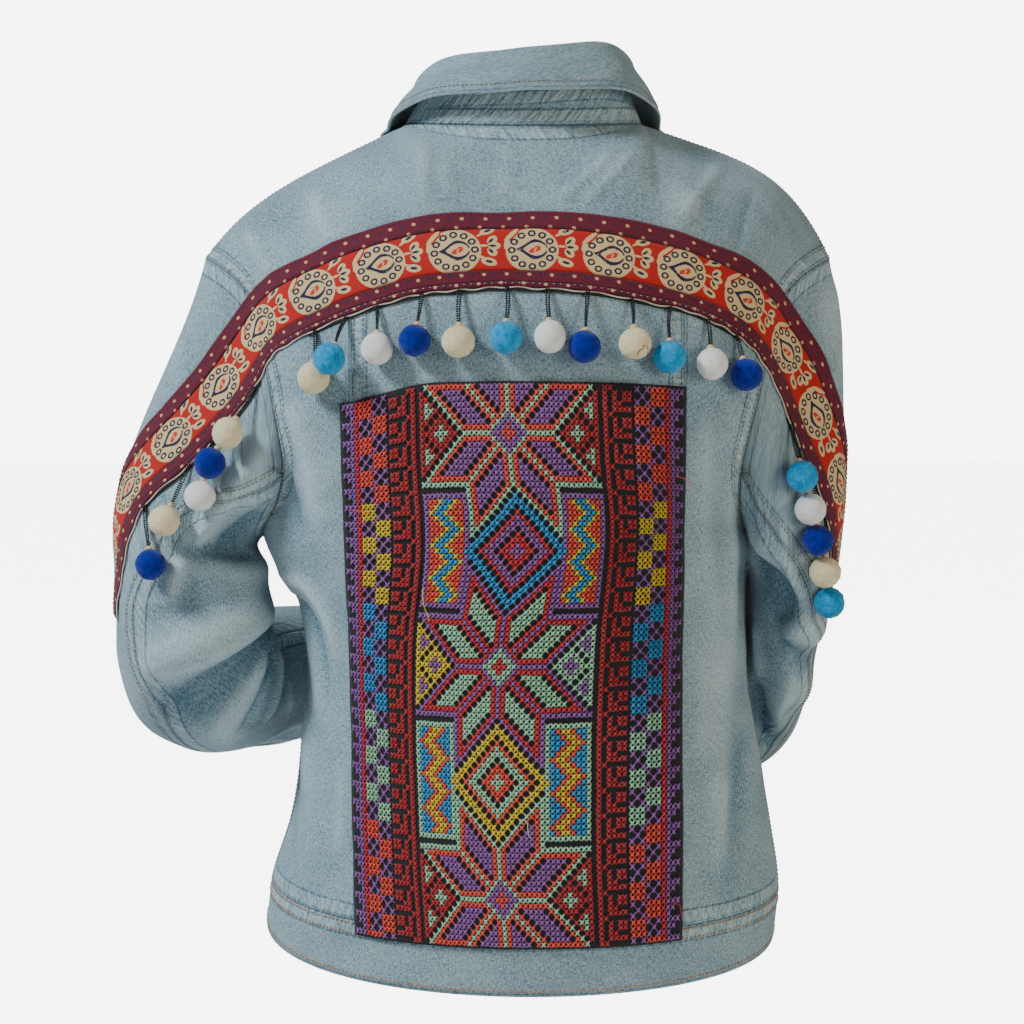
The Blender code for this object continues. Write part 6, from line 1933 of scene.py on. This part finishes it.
def black_glass():
    made, tree, sockets = new_material("black_glass_beads", Specular_IOR_Level=0.6)
    spots = object_spots(tree)
    shade = noise(tree, spots, 700, 1.0)
    feed(tree, sockets["Base Color"], blend_colours(tree, shade, tint(6, 6, 7), tint(30, 30, 33)))
    feed(tree, sockets["Roughness"], times_plus(tree, shade, 0.2, 0.08))
    return made


def black_tape():
    made, tree, sockets = new_material("black_tape", Roughness=0.9)
    weave = use_group(tree, WEAVE, Pattern=pattern_of(tree), Rib=0.0006, Lean=0.5)
    feed(tree, sockets["Base Color"], blend_colours(tree, weave["Shade"], tint(8, 8, 9), tint(34, 33, 36)))
    bump(tree, sockets, times(tree, weave["Height"], 0.0002))
    return made


def pale_wood():
    made, tree, sockets = new_material("pale_wood", Roughness=0.5)
    spots = object_spots(tree)
    grain = noise(tree, stretched(tree, spots, 300, 300, 1800), 1.0, 2.0)
    feed(tree, sockets["Base Color"], blend_colours(tree, grain, tint(206, 168, 112), tint(238, 212, 164)))
    return made


def root_travel(side, root):
    """How far along the braid a string leaves its lower edge."""
    half = BRAID_COUNT // 2
    if side == "back":
        return float(np.interp(root, edge_points[:, 0], travel))
    if side == "left":
        return float(np.interp(root, edge_points[:half, 2], travel[:half]))
    return float(np.interp(-root, -edge_points[half:, 2], travel[half:]))


GLASS, TAPE, WOOD = black_glass(), black_tape(), pale_wood()
BALLS = []
number = 0
for side, roots in ROOTS.items():
    places = [root_travel(side, root) for root in roots]
    first, last = min(places), max(places)
    inside = np.linspace(first - TAPE_PAST, last + TAPE_PAST, int((last - first) / TAPE_STEP) + 4)
    line, outs, downs = (read_off(inside, travel, field) for field in (edge_points, edge_out, edge_down))
    share = np.linspace(0, 1, 4)[None, :, None]
    grid = line[:, None] - outs[:, None] * 0.0006 + downs[:, None] * (0.0002 + TAPE_WIDTH * share)
    facing = np.repeat(outs[:, None], 4, axis=1)
    tape = cloth_shell("bead_tape_" + side, grid, facing, 0.0008, (), None, TAPE)
    belongs(tape, "black_beads")
    strings = []
    for at in places:
        number += 1
        low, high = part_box(f"pompom_{number:02d}")
        centre = (np.array(low) + np.array(high)) / 2
        root, out, down = (read_off(at, travel, rows) for rows in (edge_points, edge_out, edge_down))
        root = root + out * 0.0004 + down * 0.0012
        top = centre + unit(root - centre) * (BALL_RADIUS + 0.0028)
        BALLS.append((number, centre, unit(root - centre)))
        away = unit(np.array([0.0, -1.0, 0.0]))
        side_way = unit(np.cross(unit(root - top), away))
        way = np.linspace(0, 1, 40)[:, None]
        length = float(np.linalg.norm(root - top))
        sag = side_way * 0.0009 * math.sin(number * 2.4) * np.sin(math.pi * way)
        spine = root + (top - root) * way + sag
        for phase in (0, math.pi):
            turn = phase + 0.5 * math.sin(number) + 0.9 * way * length / 0.0200
            twist = side_way * np.cos(turn) + np.cross(side_way, unit(root - top)) * np.sin(turn)
            strings.append((spine + twist * STRAND_APART, np.repeat(away[None], len(spine), axis=0)))
    grain_rows("bead_strings_" + side, strings, GLASS, "black_beads", "tape_" + side, 6, 4,
               Spacing=BEAD_SPACING, Length=BEAD_LONG, Width=BEAD_WIDE)

wood = bmesh.new()
for number, centre, lead in BALLS:
    bead = bmesh.ops.create_uvsphere(wood, u_segments=16, v_segments=10, radius=0.0026)["verts"]
    turn = Vector(lead).to_track_quat("Z", "Y").to_matrix().to_4x4()
    bmesh.ops.scale(wood, vec=(1, 1, 0.82), verts=bead)
    bmesh.ops.transform(wood, matrix=turn, verts=bead)
    bmesh.ops.translate(wood, vec=Vector(centre + lead * (BALL_RADIUS + 0.0009)), verts=bead)
wood_mesh = bpy.data.meshes.new("wooden_beads")
wood.to_mesh(wood_mesh)
wood.free()
wood_mesh.shade_smooth()
wood_mesh.materials.append(WOOD)
belongs(add_object("wooden_beads", wood_mesh), "black_beads")

# Felt balls
# Wool balls of white, cream, blue and turquoise, felted by hand: a little uneven, covered in short
# loose fibres. The turquoise ones are the most plush.
Felt = namedtuple("Felt", "slot dark light lumps hair")
FELTS = {
    "white": Felt("white_felt", (232, 228, 226), (255, 252, 250), 0.00020, 0.0007),
    "cream": Felt("cream_felt", (224, 206, 160), (252, 238, 200), 0.00024, 0.0008),
    "blue": Felt("blue_felt", (6, 22, 116), (20, 48, 168), 0.00026, 0.0008),
    "turquoise": Felt("turquoise_felt", (8, 120, 186), (44, 182, 236), 0.00045, 0.0013),
}
BALL_ORDER = ("cream", "blue", "white", "cream", "blue",
              "cream", "turquoise", "white", "blue", "cream", "turquoise",
              "white", "blue", "cream", "turquoise", "white", "blue",
              "turquoise", "white", "blue", "cream", "turquoise")
HAIRS = 420


def felt(name, kind):
    made, tree, sockets = new_material(
        name, Roughness=0.97, Sheen_Weight=0.22, Sheen_Roughness=0.4, Specular_IOR_Level=0.1)
    spots = object_spots(tree)
    tangle = noise(tree, spots, 900, 4.0, 0.7)
    clumps = noise(tree, spots, 260, 3.0, 0.6)
    shade = ramp(tree, times_plus(tree, tangle, 0.6, times(tree, clumps, 0.5)), 0.32, 0.78)
    feed(tree, sockets["Base Color"], blend_colours(tree, shade, tint(*kind.dark), tint(*kind.light)))
    height = times_plus(tree, tangle, 0.0007, times(tree, clumps, 0.0004))
    bump(tree, sockets, height)
    return made


def lumpy(directions, number, kind):
    """Radius of a ball in each direction."""
    x, y, z = directions.T
    n = number * 1.7
    broad = np.sin(3.1 * x + n) + np.sin(3.7 * y + 2 * n) + np.sin(2.9 * z + 3 * n)
    fine = (np.sin(17 * x + 9 * y + n) * np.sin(15 * z - 7 * x + n) + np.sin(23 * y - 11 * z + 2 * n)
            * np.sin(19 * x + 13 * z))
    return BALL_RADIUS * (1 + 0.012 * broad) + kind.lumps * fine - 0.0002


FELT_PAINTS = {colour: felt(colour + "_felt", kind) for colour, kind in FELTS.items()}
for (number, centre, lead), colour in zip(BALLS, BALL_ORDER):
    kind = FELTS[colour]
    form = bmesh.new()
    bmesh.ops.create_icosphere(form, subdivisions=4, radius=1.0)
    round_mesh = bpy.data.meshes.new(f"felt_ball_{number:02d}")
    form.to_mesh(round_mesh)
    form.free()
    directions = np.array([vertex.co[:] for vertex in round_mesh.vertices])
    faces = np.array([face.vertices[:] for face in round_mesh.polygons])
    skin = centre + directions * lumpy(directions, number, kind)[:, None]
    k = np.arange(HAIRS)
    height = 1 - 2 * (k + 0.5) / HAIRS
    turn = k * 2.39996 + number
    ring = np.sqrt(1 - height**2)
    grow = np.stack([ring * np.cos(turn), ring * np.sin(turn), height], axis=-1)
    foot = centre + grow * (lumpy(grow, number, kind) - 0.0001)[:, None]
    stray = np.stack([np.sin(k * 12.9 + number), np.sin(k * 7.7 + 1), np.sin(k * 4.3 + 2)], axis=-1)
    tip = foot + unit(grow + 0.75 * stray) * (kind.hair * (0.6 + 0.5 * np.abs(np.sin(k * 3.3))))[:, None]
    side = unit(np.cross(grow, stray + 0.01)) * 0.00007
    over = np.cross(grow, side)
    back = foot - side * 0.5
    hair = np.stack([foot + side, back + over * 0.87, back - over * 0.87, tip], axis=1)
    hair_faces = (np.array([(0, 1, 3), (1, 2, 3), (2, 0, 3), (2, 1, 0)])[None]
                  + (np.arange(HAIRS) * 4)[:, None, None] + len(skin)).reshape(-1, 3)
    round_mesh.clear_geometry()
    verts = np.concatenate([skin, hair.reshape(-1, 3)])
    round_mesh.from_pydata(verts, [], np.concatenate([faces, hair_faces]))
    round_mesh.shade_smooth()
    round_mesh.materials.append(FELT_PAINTS[colour])
    belongs(add_object(f"felt_ball_{number:02d}", round_mesh), kind.slot, f"pompom_{number:02d}")

# Red thread on one ball
# A short end of dark red thread that is caught in the wool of a cream ball.
SQUIGGLE = ((1.0, -7.5), (2.7, -4.6), (5.6, -2.9), (5.0, -1.2), (7.2, -1.2), (8.4, -4.4), (7.9, -6.6))
centre = BALLS[13][1]
way = np.linspace(0, 1, 26)
knots = np.linspace(0, 1, len(SQUIGGLE))
flat_x = smooth(knots, [spot[0] / 1000 for spot in SQUIGGLE], way)
flat_z = smooth(knots, [spot[1] / 1000 for spot in SQUIGGLE], way)
depth = np.sqrt((BALL_RADIUS + 0.0002)**2 - flat_x**2 - flat_z**2)
line = centre + np.stack([flat_x, -depth, flat_z], axis=-1)
dark_red = thread("dark_red_thread", tint(96, 8, 20), tint(150, 16, 32))
belongs(tube("red_thread_end", line, 0.00026, dark_red, 4), "cream_felt")
